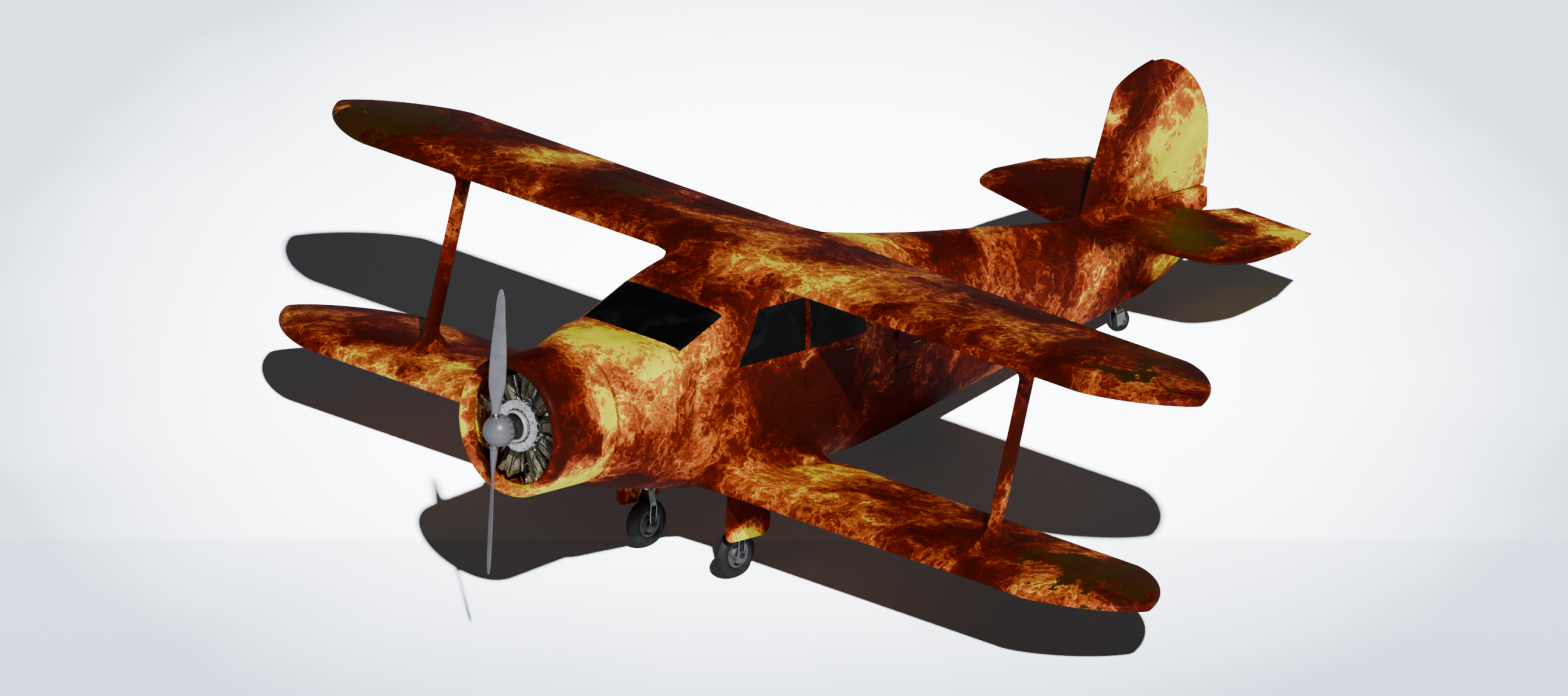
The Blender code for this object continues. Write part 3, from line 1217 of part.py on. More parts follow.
def main():
    clear_scene()
    pitch = pitch_on_wheels()
    ground = WHEEL_RADIUS + math.sin(pitch) * WHEEL_Y - math.cos(pitch) * WHEEL_HEIGHT
    attitude = add_empty("attitude", None, (0, 0, ground), -pitch)
    body, cavity = add_fuselage(attitude)
    add_doors(body, cavity, attitude)
    add_windows(attitude)
    add_cowl(attitude)
    add_engine(attitude)
    add_propeller(add_empty("propeller_pivot", attitude, (0, 0, 0)))
    for side in SIDES:
        for wing, surface in ((UPPER, "aileron"), (LOWER, "flap")):
            add_wing(wing, side, attitude)
            add_surface(wing, surface, side, attitude)
        add_strut(side, attitude)
        add_stabiliser(side, attitude)
        add_elevator(side, attitude)
        add_gear(side, attitude)
        add_wheel(side, attitude, (SIDES[side] * TRACK / 2, WHEEL_Y, WHEEL_HEIGHT))
    add_fin(attitude)
    add_rudder(attitude)
    swivel_y = TAIL_WHEEL_Y - TAIL_TRAIL * math.cos(pitch)
    swivel_z = TAIL_WHEEL_HEIGHT + TAIL_TRAIL * math.sin(pitch) * -1
    swivel = add_empty("tail_swivel", attitude, (0, swivel_y, swivel_z), pitch)
    roll = add_empty("tail_roll", swivel, (0, TAIL_TRAIL, 0))
    stem_top = TAIL_WHEEL_RADIUS + 0.045
    add_tail_wheel(swivel, roll, Vector((0, TAIL_TRAIL, 0)), stem_top - SEAT_GAP)
    boss = rod((0, 0, stem_top), (0, 0, stem_top + 0.12), TAIL_STEM_RADIUS * 1.5, 18)
    combine(body, add_helper("swivel_boss", boss, swivel), "UNION")
    add_furniture(attitude)
    stand_on_ground(attitude)


main()
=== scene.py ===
"""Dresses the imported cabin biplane: fine skins in flame paint, engine, cabin, landing gear and studio.

Shapes are drawn level: x to the left wing, y aft from the tip of the propeller dome and z up from the
thrust line, in metres. place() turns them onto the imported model, which stands nose up on its wheels.
"""

import collections
import json
import math

import bmesh
import bpy
import numpy as np
from bpy.props import FloatProperty, FloatVectorProperty, IntProperty, PointerProperty
from mathutils import Matrix, Vector


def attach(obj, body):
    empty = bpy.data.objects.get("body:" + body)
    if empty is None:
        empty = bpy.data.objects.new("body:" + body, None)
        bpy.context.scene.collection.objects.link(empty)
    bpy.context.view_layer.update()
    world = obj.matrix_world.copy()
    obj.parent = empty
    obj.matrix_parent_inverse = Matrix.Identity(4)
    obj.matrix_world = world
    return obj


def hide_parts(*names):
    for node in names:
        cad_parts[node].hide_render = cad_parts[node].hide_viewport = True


bl_info = {
    "name": "Cabin biplane",
    "version": (1, 0, 0),
    "blender": (4, 5, 0),
    "location": "View3D > Sidebar > Biplane",
    "description": "Builds the visible surfaces and materials of a cabin biplane",
    "category": "Add Mesh",
}

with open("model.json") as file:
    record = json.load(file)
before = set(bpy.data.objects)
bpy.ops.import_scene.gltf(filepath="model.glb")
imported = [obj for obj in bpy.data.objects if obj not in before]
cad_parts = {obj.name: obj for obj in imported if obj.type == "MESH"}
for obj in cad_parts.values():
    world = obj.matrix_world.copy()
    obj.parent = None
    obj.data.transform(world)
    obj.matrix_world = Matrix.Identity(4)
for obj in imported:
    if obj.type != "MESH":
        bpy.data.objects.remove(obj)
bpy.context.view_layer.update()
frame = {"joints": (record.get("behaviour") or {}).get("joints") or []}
JOINTS = {joint["name"]: joint for joint in frame["joints"]}

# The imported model's level axes
NOSE = np.array(JOINTS["propeller_spin"]["pos_m"])
LEFT = np.array([1.0, 0.0, 0.0])
AFT = np.array(JOINTS["propeller_spin"]["axis"])
UP = np.array(JOINTS["rudder_turn"]["axis"])

# Wings
SEMI_SPAN = 4.875
TIP_LENGTH = 0.85
TIP_WALL = 0.06
TIP_CENTRE_SHARE = 0.46
ROOT_X = 0.70
THICKNESS_RATIO = 0.115
CAMBER_SHARE = 0.6
EDGE_THICKNESS = 0.010
SURFACE_INNER_X = 0.745
SURFACE_OUTER_X = 3.46
MOVING_GAP = 0.005
SEAT_GAP = 0.0003
Wing = collections.namedtuple("Wing", "front chord height surface_chord")
UPPER = Wing(2.57, 1.266, 0.897, 0.318)
LOWER = Wing(2.045, 1.335, -0.733, 0.300)
SIDES = {"left": 1, "right": -1}

# Interplane struts
STRUT_X = 3.19
STRUT_FOOT_Y = 2.56
STRUT_HEAD_Y = 2.92
STRUT_CHORD, STRUT_THICKNESS, STRUT_FLARE = 0.17, 0.055, 0.17

# Fuselage: y, top, bottom, half width, height of the widest line, roundness above and below it
BODY = np.array([
    (0.93, 0.570, -0.565, 0.585, 0.00, 2.0, 2.0),
    (0.97, 0.595, -0.595, 0.620, 0.00, 2.1, 2.0),
    (1.15, 0.600, -0.655, 0.625, 0.00, 2.7, 2.0),
    (1.35, 0.585, -0.700, 0.625, 0.00, 4.5, 2.1),
    (1.57, 0.550, -0.745, 0.625, -0.02, 8.0, 2.2),
    (2.06, 0.770, -0.835, 0.630, -0.04, 8.0, 2.3),
    (2.45, 0.915, -0.870, 0.635, -0.05, 6.0, 2.3),
    (2.90, 0.990, -0.895, 0.635, -0.05, 5.0, 2.3),
    (3.40, 0.975, -0.905, 0.620, -0.04, 4.0, 2.3),
    (3.84, 0.905, -0.900, 0.575, -0.02, 3.2, 2.2),
    (4.40, 0.800, -0.830, 0.505, 0.00, 2.7, 2.2),
    (5.00, 0.705, -0.725, 0.430, 0.02, 2.4, 2.1),
    (5.65, 0.620, -0.610, 0.350, 0.05, 2.2, 2.1),
    (6.47, 0.510, -0.460, 0.235, 0.10, 2.1, 2.0),
    (7.00, 0.475, -0.365, 0.160, 0.14, 2.0, 2.0),
    (7.45, 0.470, -0.275, 0.100, 0.18, 2.0, 2.0),
    (7.85, 0.460, -0.080, 0.065, 0.28, 2.0, 2.0),
    (8.02, 0.450, 0.150, 0.050, 0.35, 2.0, 2.0),
    (8.10, 0.440, 0.330, 0.035, 0.38, 2.0, 2.0),
])
CREASES = (1.57, 2.06, 7.45)
FIREWALL_Y, TAIL_END_Y = 0.93, 8.10
WALL = 0.03
CABIN = (1.40, 4.56, -0.42, 0.84)
WING_FILLET, CLOSED_FILLET = 0.16, 0.02
EDGE_INSET = 0.001
TAIL_FILLET = 0.05
# How many rays lie between the marked ones, where along the body the marks change over, and how the
# place where a ray leaves the skin is sought
RAY_COUNTS = (6, 14, 3, 6, 16, 3, 14)
ROOTS_CHANGE, FIN_RISES = (4.6, 5.8), (5.8, 6.5)
SEARCH_REACH, SEARCH_STEPS, SEARCH_HALVINGS = 1.4, np.linspace(0.01, 1.21, 401), 22

# Windows and doors, as (y, z) corners
GLASS_RECESS = 0.003
SCREEN_BASE = (1.57, 0.55)
SCREEN_TOP = (2.06, 0.77)
SCREEN_HALF_WIDTH = 0.555
SCREEN_FRAME = 0.012
# How far the cutters reach: inside and outside the windscreen, and across a side
SCREEN_CUT, SIDE_CUT = (-0.14, 0.10), (0.25, 1.2)
SILL, HEAD = 0.285, 0.725
WINDOW_FRONT_Y, WINDOW_RAKE = 2.20, 0.23
WINDOW_REAR_Y, WINDOW_REAR_RAKE = 3.74, 0.14
DOOR_FRONT_Y, DOOR_BOTTOM_REAR_Y, DOOR_BOTTOM, DOOR_FRAME = 2.99, 3.46, -0.18, 0.022
BAGGAGE = (4.11, 4.48, -0.14, 0.23)
VENTS = (((2.100, 0.285), (2.118, 0.285), (2.215, 0.465), (2.197, 0.465)),
         ((2.300, 0.742), (2.335, 0.754), (2.318, 0.718)))
VENT_FLOOR_X = 0.608
HANDLES = {"cabin_door": (3.53, 0.195), "baggage_door": (4.40, 0.06)}

# Tail surfaces
FIN_BASE_FRONT_Y, FAIRING_TOP, FIN_TOP, FIN_HALF = 6.70, 0.50, 1.69, 0.060
RUDDER_HINGE_Y, RUDDER_TOP, RUDDER_CHORD, RUDDER_NOSE = 7.50, 1.67, 0.634, 0.024
RUDDER_FULLEST_Z = 0.92
TAIL_HEIGHT, TAIL_ROOT_X, TAIL_ROOT_FRONT_Y, TAIL_SWEEP = 0.42, 0.24, 6.63, 0.26
TAIL_SEMI_SPAN, TAIL_TIP_LENGTH, TAIL_HALF, TAIL_EDGE = 1.47, 0.22, 0.038, 0.008
ELEVATOR_HINGE_Y, ELEVATOR_CHORD, ELEVATOR_NOSE = 7.73, 0.35, 0.022
ELEVATOR_INNER_X, ELEVATOR_OUTER_X, ELEVATOR_CUT = 0.27, 1.41, 0.15

# Cowl, engine and propeller. A closed turned profile starts and ends at the axis radius.
COWL_RADIUS, COWL_MOUTH, COWL_FRONT_Y, COWL_REAR_Y, COWL_WALL = 0.575, 0.475, 0.22, 0.90, 0.020
LIP_DEPTH_RATIO = 1.6
AXIS_RADIUS = 0.0005
CYLINDERS = 9
CYLINDER_Y = 0.47
FINS_LOW, FINS_HIGH, FIN_ROOT = 0.225, 0.395, 0.058
HEAD_PLATES, HEAD_LOW, HEAD_PITCH = 9, 0.398, 0.0068
ROCKER_X = 0.045
CRANKCASE_RADIUS, CRANKCASE_FRONT_Y = 0.215, 0.33
STUD_CIRCLE = 0.196
DOME_RADIUS, BLADE_LENGTH, BLADE_WIDTH, BLADE_Y = 0.132, 1.20, 0.14, 0.085
BLADE_ROOT, BLADE_THICKNESS = 0.033, 0.030
BAND_REAR_Y, HUB_REAR_Y = 0.1765, 0.2115

# Landing gear
TRACK, WHEEL_Y, WHEEL_Z, WHEEL_RADIUS = 1.00, 2.39, -1.345, 0.20
TYRE_WIDTH, RIM_RADIUS, AXLE_RADIUS = 0.115, 0.115, 0.024
LEG_TOP, LEG_RADIUS, FORK_CROWN, FORK_BEND = -0.89, 0.042, -1.06, 0.015
TAIL_WHEEL_RADIUS, TAIL_TYRE_WIDTH, TAIL_RIM, TAIL_TRAIL = 0.0865, 0.060, 0.045, 0.045

# Cabin
SEATS = (("seat_front_left", 0.27, 0.46, 2.42), ("seat_front_right", -0.27, 0.46, 2.42),
         ("seat_rear", 0.0, 0.90, 3.42))
COLUMN_Y, WHEEL_CENTRE_Z = 2.10, 0.25
PANEL_FRONT_Y, PANEL_REAR_Y, PANEL_LOW, PANEL_HIGH = 1.6603, 1.6897, 0.1203, 0.54
DIAL_RADIUS = 0.042
DIAL_ROWS = ((0.44, (-0.40, -0.28, -0.16, -0.04, 0.08, 0.20, 0.32, 0.44)),
             (0.33, (-0.34, -0.22, -0.10, 0.02, 0.14, 0.26, 0.38)))

# Stage: the floor's half width, the way the sun shines, and the camera's axes, target and distance
FLOOR_REACH = 150.0
SUN_DIRECTION = (-0.907, 0.5275, -1.0)
VIEW_UP, VIEW_BACK = (-0.2459, 0.3747, 0.8938), (0.6622, -0.6085, 0.4373)
VIEW_TARGET, VIEW_WIDTH, VIEW_DISTANCE = (0.0, 3.368, 0.059), 12.566, 60.0
# The picture's level and upright directions on the floor, and what brings its middle to zero
FLOOR_AXES = ((0.7078, 0.6997, 0.0), (-0.2459, 0.3747, 0.0))
FLOOR_SHIFTS = (0.621, -0.972)
# Half axes of the painted pool of light, where the soft edge of the painted shade in front lies, and the
# painted glow that the camera alone sees, which lifts the floor's shadows
LIT_POOL_AXES, SHADED_FRONT_EDGE, FLOOR_GLOW = (6.6, 3.6), (-1.50, -1.56), 0.026


def place(points):
    """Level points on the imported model: the nose plus x to the left, y along the thrust line and z up."""
    points = np.asarray(points, dtype=float)
    return NOSE + points[..., :1] * LEFT + points[..., 1:2] * AFT + points[..., 2:3] * UP


def smooth(value, low, high):
    """Runs from 0 to 1 between two values, level at both ends: 3t squared less 2t cubed."""
    t = np.clip((value - low) / (high - low), 0.0, 1.0)
    return t * t * (3 - 2 * t)


def mix(a, b, share):
    """Runs evenly from a to b."""
    return a + (b - a) * share


def joined(*numbers):
    """Points or faces from arrays of their numbers, which may vary along different axes."""
    return np.stack(np.broadcast_arrays(*numbers), -1)


def join_smoothly(a, b, width):
    """The lesser of two distances, rounded where they are within width of each other."""
    share = np.clip(0.5 + 0.5 * (b - a) / width, 0.0, 1.0)
    return mix(b, a, share) - width * share * (1 - share)


def body_sizes(y):
    """The six sizes of the fuselage at each y, on cubic curves through the stations of BODY.

    The slope at a station is the harmonic mean of its neighbours' slopes, so nothing overshoots.
    """
    y = np.asarray(y, dtype=float)
    ys, values = BODY[:, 0], BODY[:, 1:]
    lengths = np.diff(ys)[:, None]
    steps = np.diff(values, axis=0) / lengths
    before, after = np.vstack([steps[:1], steps]), np.vstack([steps, steps[-1:]])
    product, total = before * after, before + after
    even = np.where(product > 0, 2 * product / np.where(product > 0, total, 1.0), 0.0)
    crease = np.isin(ys, CREASES)[:, None]
    arriving, leaving = np.where(crease, before, even), np.where(crease, after, even)
    i = np.clip(np.searchsorted(ys, y, side="right") - 1, 0, len(ys) - 2)
    length = lengths[i]
    t = np.clip((y - ys[i])[..., None] / length, 0.0, 1.0)
    value = (2 * t**3 - 3 * t**2 + 1) * values[i] + (t**3 - 2 * t**2 + t) * leaving[i] * length
    value = value + (3 * t**2 - 2 * t**3) * values[i + 1] + (t**3 - t**2) * arriving[i + 1] * length
    return np.moveaxis(value, -1, 0)


def body_ring(y, angle, inset=0.0):
    """The fuselage's section at each y: a superellipse above its widest line and another below."""
    y, angle = np.broadcast_arrays(y, angle)
    top, bottom, width, middle, upper, lower = body_sizes(y)
    cosine, sine = np.cos(angle), np.sin(angle)
    power = 2 / np.where(sine > 0, upper, lower)
    reach = np.where(sine > 0, top - middle, middle - bottom) - inset
    x = (width - inset) * np.sign(cosine) * np.abs(cosine) ** power
    z = middle + reach * np.sign(sine) * np.abs(sine) ** power
    return np.stack([x, y, z], -1)


def skin_x(y, z, inset=0.0):
    """Half width of the fuselage at a height."""
    top, bottom, width, middle, upper, lower = body_sizes(y)
    power = np.where(z > middle, upper, lower)
    reach = np.where(z > middle, top - middle, middle - bottom) - inset
    share = np.clip(np.abs(z - middle) / reach, 0.0, 1.0)
    return (width - inset) * (1 - share**power) ** (1 / power)


def airfoil_half(c):
    """Half thickness of a wing section of unit thickness, at a share c of its chord."""
    c = np.clip(c, 0.0, 1.0)
    return 5 * (0.2969 * np.sqrt(c) - 0.1260 * c - 0.3516 * c**2 + 0.2843 * c**3 - 0.1036 * c**4)


def wing_limits(wing, x):
    """Front and rear edge of a wing at each x, rounded at the tip by a superellipse."""
    share = np.clip((x - (SEMI_SPAN - TIP_LENGTH)) / TIP_LENGTH, 0.0, 1.0)
    inward = (1 - share**1.5) ** (1 / 1.5)
    centre = wing.front + TIP_CENTRE_SHARE * wing.chord
    return mix(centre, wing.front, inward), mix(centre, wing.front + wing.chord, inward), share


def wing_skin(wing, x, y, side):
    """Height of a wing's upper (side 1) or lower (side -1) skin: half thickness, camber and blunt tip."""
    front, rear, tip = wing_limits(wing, x)
    c = (y - front) / np.maximum(rear - front, 1e-6)
    body = airfoil_half(c) * THICKNESS_RATIO * wing.chord
    blunt = TIP_WALL / 2 * np.sqrt(np.clip(1 - np.abs(2 * c - 1) ** 6, 0.0, 1.0))
    weight = tip**2
    rise = side + CAMBER_SHARE * (1 - weight)
    return wing.height + rise * mix(body, blunt, weight) + side * np.clip(c, 0, 1) * EDGE_THICKNESS / 2


def tail_half(share, fullest, rear):
    """Half thickness of a tail surface: a round front to its fullest place, then an even taper."""
    peak = 0.35
    front = fullest * np.sqrt(np.clip(1 - (1 - share / peak) ** 2, 0.0, 1.0))
    return np.where(share < peak, front, mix(fullest, rear, smooth(share, peak, 1.25)))


def hinge_of(wing):
    """y and z of the hinge of a wing's control surface, and its nose radius."""
    y = wing.front + wing.chord - wing.surface_chord
    high, low = wing_skin(wing, 0.0, y, 1), wing_skin(wing, 0.0, y, -1)
    return y, (high + low) / 2, (high - low) / 2


def slab_distance(y, z, front, rear, low, high):
    """Distance from a thin level surface whose skins lie at low and high between two edges."""
    ahead = np.maximum(np.maximum(front - y, y - rear), 0.0)
    across = np.maximum(z - high, low - z)
    return np.where(ahead > 0, np.hypot(ahead, np.maximum(across, 0.0)), across)


def body_distance(x, y, z):
    """Distance outside the fuselage with its wing roots, fin base and tail roots, all faired together."""
    top, bottom, width, middle, upper, lower = body_sizes(y)
    power = np.where(z > middle, upper, lower)
    reach = np.where(z > middle, top - middle, middle - bottom)
    gauge = ((x / width) ** power + np.abs((z - middle) / reach) ** power) ** (1 / power)
    radius = np.hypot(x, z - middle)
    distance = radius * (1 - 1 / np.maximum(gauge, 1e-3))
    for wing in (UPPER, LOWER):
        rear = wing.front + wing.chord
        near = np.clip(y, wing.front, rear)
        low, high = wing_skin(wing, 0.0, near, -1), wing_skin(wing, 0.0, near, 1)
        slab = np.maximum(slab_distance(y, z, wing.front, rear, low, high), x - ROOT_X)
        open_side = ((low + high) / 2 - z) * (1 if wing is UPPER else -1)
        width = mix(CLOSED_FILLET, WING_FILLET, smooth(open_side, -0.05, 0.04))
        distance = join_smoothly(distance, slab, width)
    rear, half = tail_root(y)
    slab = slab_distance(y, z, TAIL_ROOT_FRONT_Y, rear, TAIL_HEIGHT - half, TAIL_HEIGHT + half)
    distance = join_smoothly(distance, np.maximum(slab, x - TAIL_ROOT_X), TAIL_FILLET)
    half = fairing_half(y)
    post = slab_distance(y, x, FIN_BASE_FRONT_Y, TAIL_END_Y, -half, half)
    post = np.maximum(post, np.maximum(z - FAIRING_TOP, TAIL_HEIGHT - 0.08 - z))
    distance = join_smoothly(distance, post, TAIL_FILLET)
    ceiling = FAIRING_TOP + np.maximum(FIN_BASE_FRONT_Y - 0.04 - y, 0.0)
    side = mix(ROOT_X, TAIL_ROOT_X, smooth(y, 5.8, 6.55))
    return np.maximum(distance, np.maximum(z - ceiling, x - side))


def tail_root(y):
    """Rear edge of the tailplane's root, and its half thickness at y."""
    rear = ELEVATOR_HINGE_Y - ELEVATOR_NOSE - MOVING_GAP
    share = np.clip((y - TAIL_ROOT_FRONT_Y) / (rear - TAIL_ROOT_FRONT_Y), 0.0, 1.0)
    return rear, tail_half(share, TAIL_HALF, ELEVATOR_NOSE)


def fairing_half(y):
    """Half width of the fin's base, and behind it of the fairing under the rudder."""
    share = np.clip((y - FIN_BASE_FRONT_Y) / (RUDDER_HINGE_Y - FIN_BASE_FRONT_Y), 0.0, 1.0)
    return mix(tail_half(share, FIN_HALF, RUDDER_NOSE), 0.055, smooth(y, 7.3, 7.55))


def body_rays(y, counts):
    """Height on the middle plane, and direction, of the rays that find half a section's points.

    Marked rays run to the edges of the fin's base, of the upper root, which gives way to the tail's, and of
    the lower root, so that each edge has its own line of points. The rest lie evenly between them. The rays
    for a root start level with its open side, so that they see into the fillet there.
    """
    top, bottom, width, middle, upper, _ = body_sizes(y)
    aft = smooth(y, *ROOTS_CHANGE)
    near = np.clip(y, UPPER.front, UPPER.front + UPPER.chord)
    under = np.clip(y, LOWER.front, LOWER.front + LOWER.chord)
    half = tail_root(y)[1]
    root_x = mix(ROOT_X, TAIL_ROOT_X, aft)
    high = mix(wing_skin(UPPER, 0.0, near, 1), TAIL_HEIGHT + half, aft) - EDGE_INSET
    low = mix(wing_skin(UPPER, 0.0, near, -1), TAIL_HEIGHT - half, aft) + EDGE_INSET
    under_high = wing_skin(LOWER, 0.0, under, 1) - EDGE_INSET
    under_low = wing_skin(LOWER, 0.0, under, -1) + EDGE_INSET
    above = np.maximum(np.minimum(low - 0.02, top - 0.10), middle)
    below = np.minimum(np.maximum(under_high + 0.02, bottom + 0.10), middle)
    corner = math.cos(math.pi / 4) ** (2 / upper)
    corner = np.arctan2(middle + (top - middle) * corner - above, width * corner)
    fin = mix(1.45, np.arctan2(FAIRING_TOP - above, fairing_half(y)), smooth(y, *FIN_RISES))
    marks = [(above, np.full_like(y, math.pi / 2)), (above, fin), (above, np.arctan2(high - above, root_x)),
             (above, np.arctan2(low - above, root_x)), (above, corner),
             (below, np.arctan2(under_high - below, ROOT_X)),
             (below, np.arctan2(under_low - below, ROOT_X)), (below, np.full_like(y, -math.pi / 2))]
    for i in range(1, len(marks)):
        marks[i] = (marks[i][0], np.minimum(marks[i][1], marks[i - 1][1] - 0.004))
    centres, angles = [], []
    for (c0, a0), (c1, a1), count in zip(marks, marks[1:], counts):
        centres += [mix(c0, c1, k / count) for k in range(count)]
        angles += [mix(a0, a1, k / count) for k in range(count)]
    return np.stack(centres + [marks[-1][0]], -1), np.stack(angles + [marks[-1][1]], -1)


def body_rows(spacing):
    """Positions along the fuselage, evenly spread and closer at the wings' and the tail's edges."""
    marks = [FIREWALL_Y, FIREWALL_Y + 0.02, *BODY[1:, 0]]
    for front, rear in ((UPPER.front, UPPER.front + UPPER.chord), (LOWER.front, LOWER.front + LOWER.chord),
                        (TAIL_ROOT_FRONT_Y, ELEVATOR_HINGE_Y - ELEVATOR_NOSE - MOVING_GAP)):
        marks += [front + d for d in (-0.03, -0.008, EDGE_INSET, 0.006, 0.02, 0.05, 0.1)]
        marks += [rear - 0.02, rear - EDGE_INSET, rear + EDGE_INSET, rear + 0.02]
    marks += [FIN_BASE_FRONT_Y + d for d in (-0.02, EDGE_INSET, 0.01, 0.03)]
    marks = np.unique(np.round(marks, 5))
    rows = [np.linspace(a, b, max(1, math.ceil((b - a) / spacing)), endpoint=False)
            for a, b in zip(marks, marks[1:])]
    return np.append(np.concatenate(rows), marks[-1])


def body_surface(spacing):
    """The faired fuselage as closed rings: the outermost place where each direction leaves the shape."""
    y = body_rows(spacing)
    middle, angle = body_rays(y, RAY_COUNTS)
    rows = y[:, None] + 0 * angle

    def outside(radius):
        return body_distance(np.abs(radius * np.cos(angle)), rows, middle + radius * np.sin(angle))

    low, high = np.zeros_like(angle), np.full_like(angle, SEARCH_REACH)
    for near, far in zip(SEARCH_STEPS, SEARCH_STEPS[1:]):
        inside = outside(near + 0 * angle) < 0
        low, high = np.where(inside, near, low), np.where(inside, far, high)
    for _ in range(SEARCH_HALVINGS):
        half = (low + high) / 2
        inside = outside(half) < 0
        low, high = np.where(inside, half, low), np.where(inside, high, half)
    x, z = low * np.cos(angle), middle + low * np.sin(angle)
    x[:, 0] = x[:, -1] = 0.0
    right = np.stack([x, rows, z], -1)
    left = right[:, -2:0:-1] * np.array([-1.0, 1.0, 1.0])
    return np.concatenate([right, left], 1)


def grid(points, around=True, wrap=False, ends=True):
    """A grid of points as (points, quads, end faces). Rows run along the piece, columns round it."""
    rows, cols = points.shape[:2]
    i = np.arange(rows if wrap else rows - 1)[:, None]
    j = np.arange(cols if around else cols - 1)[None, :]
    i2, j2 = (i + 1) % rows, (j + 1) % cols
    quads = joined(i * cols + j, i * cols + j2, i2 * cols + j2, i2 * cols + j)
    caps = [list(range(cols)), list(range((rows - 1) * cols, rows * cols))] if ends and not wrap else []
    return points.reshape(-1, 3), quads.reshape(-1, 4), caps


def mirrored(part):
    """A part on the other side of the middle plane."""
    points, quads, caps = part
    return points * np.array([-1.0, 1.0, 1.0]), quads, caps


def moved(part, shift):
    """A part carried by a shift."""
    points, quads, caps = part
    return points + np.asarray(shift, dtype=float), quads, caps


def repeat(part, matrices):
    """Copies of a part, each turned by a 3 by 3 matrix about the nose."""
    points, quads, caps = part
    moved = np.einsum("kij,nj->kni", np.asarray(matrices), points)
    shift = np.arange(len(moved)) * len(points)
    all_quads = (quads[None] + shift[:, None, None]).reshape(-1, 4)
    return moved.reshape(-1, 3), all_quads, [[v + s for v in cap] for s in shift for cap in caps]


def about(axis, angles):
    """3 by 3 matrices that turn about the level x, y or z axis."""
    a = np.atleast_1d(np.asarray(angles, dtype=float))
    one, nil, c, s = np.ones_like(a), np.zeros_like(a), np.cos(a), np.sin(a)
    rows = {"x": [one, nil, nil, nil, c, -s, nil, s, c], "y": [c, nil, s, nil, one, nil, -s, nil, c],
            "z": [c, -s, nil, s, c, nil, nil, nil, one]}[axis]
    return np.stack(rows, -1).reshape(-1, 3, 3)


def turned(profile, axis, steps, centre=(0, 0, 0), wrap=False):
    """A profile of (radius, along) points turned about an axis through centre."""
    profile = np.asarray(profile, dtype=float)
    angle = np.arange(steps) * math.tau / steps
    radius, along = profile[:, :1], profile[:, 1:2] + 0 * angle
    a, b = radius * np.cos(angle), radius * np.sin(angle)
    order = {"x": (along, a, b), "y": (a, along, b), "z": (a, b, along)}[axis]
    return grid(np.stack(order, -1) + np.asarray(centre, dtype=float), wrap=wrap, ends=False)


def tube(path, radius, sides=8):
    """A round bar along a path of points, its rings square to the path. The ends are closed."""
    path = np.asarray(path, dtype=float)
    ahead = np.gradient(path, axis=0)
    ahead /= np.linalg.norm(ahead, axis=1, keepdims=True)
    side = np.eye(3)[np.argmin(np.abs(path[-1] - path[0]))]
    across = np.cross(ahead, side)
    across /= np.linalg.norm(across, axis=1, keepdims=True)
    upward = np.cross(across, ahead)
    angle = (np.arange(sides) * math.tau / sides)[None, :, None]
    radius = np.broadcast_to(np.asarray(radius, dtype=float), (len(path),))[:, None, None]
    ring = across[:, None] * np.cos(angle) + upward[:, None] * np.sin(angle)
    return grid(path[:, None] + radius * ring)


def block(low, high):
    """A box between two corners, as a grid whose rings run round it."""
    (x0, y0, z0), (x1, y1, z1) = low, high
    ring = np.array([(x0, y0), (x1, y0), (x1, y1), (x0, y1)])
    return grid(np.stack([np.column_stack([ring, np.full(4, z)]) for z in (z0, z1)]))


def slab(outline, axis, low, high):
    """A flat outline carried along an axis. The outline's two numbers are the other two axes, in order."""
    outline = np.asarray(outline, dtype=float)
    rings = []
    for value in (low, high):
        columns = [outline[:, 0], outline[:, 1]]
        columns.insert("xyz".index(axis), np.full(len(outline), value))
        rings.append(np.column_stack(columns))
    return grid(np.stack(rings))


def arc(centre, radius, start, end, steps):
    """Points on an arc, with angles in degrees."""
    a = np.radians(np.linspace(start, end, steps + 1))
    return np.column_stack([centre[0] + radius * np.cos(a), centre[1] + radius * np.sin(a)])


def build(name, parts, finish_name, body="airframe", stands_for=(), crease=32.0, bevel=0.0, mirror=False):
    """One piece from several parts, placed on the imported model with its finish, body and nodes."""
    points, faces, start = [], [], 0
    for part_points, quads, caps in parts:
        points.append(part_points)
        faces += (quads + start).tolist() + [[v + start for v in cap] for cap in caps]
        start += len(part_points)
    mesh = bpy.data.meshes.new(name)
    points = np.vstack(points)
    if mirror:
        points = points * np.array([-1.0, 1.0, 1.0])
    mesh.from_pydata(place(points).tolist(), [], faces)
    tidy = bmesh.new()
    tidy.from_mesh(mesh)
    bmesh.ops.remove_doubles(tidy, verts=tidy.verts, dist=0.00002)
    bmesh.ops.recalc_face_normals(tidy, faces=tidy.faces)
    tidy.to_mesh(mesh)
    tidy.free()
    mesh.materials.append(finish(finish_name))
    mesh.shade_smooth()
    mesh.set_sharp_from_angle(angle=math.radians(crease))
    made = bpy.data.objects.new(name, mesh)
    bpy.context.scene.collection.objects.link(made)
    if bevel:
        edge = made.modifiers.new("rounded edges", "BEVEL")
        edge.width = bevel
        edge.segments = 2
        edge.limit_method = "ANGLE"
        edge.angle_limit = math.radians(crease)
        edge.harden_normals = True
    if body:
        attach(made, body)
    if stands_for:
        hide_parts(*stands_for)
    return made


def carve(target, *cutters):
    """Cuts closed parts out of a piece and keeps its smooth shading."""
    for operation, part in cutters:
        cutter = build("cutter", [part], target.data.materials[0].name, None)
        cut = target.modifiers.new("cut", "BOOLEAN")
        cut.operation = operation
        cut.solver = "EXACT"
        cut.object = cutter
        bpy.context.view_layer.update()
        evaluated = target.evaluated_get(bpy.context.evaluated_depsgraph_get())
        mesh = bpy.data.meshes.new_from_object(evaluated)
        target.modifiers.remove(cut)
        old, target.data = target.data, mesh
        mesh.name = target.name
        bpy.data.meshes.remove(old)
        bpy.data.objects.remove(cutter)
    target.data.shade_smooth()
    target.data.set_sharp_from_angle(angle=math.radians(28))
    return target


# ---- materials

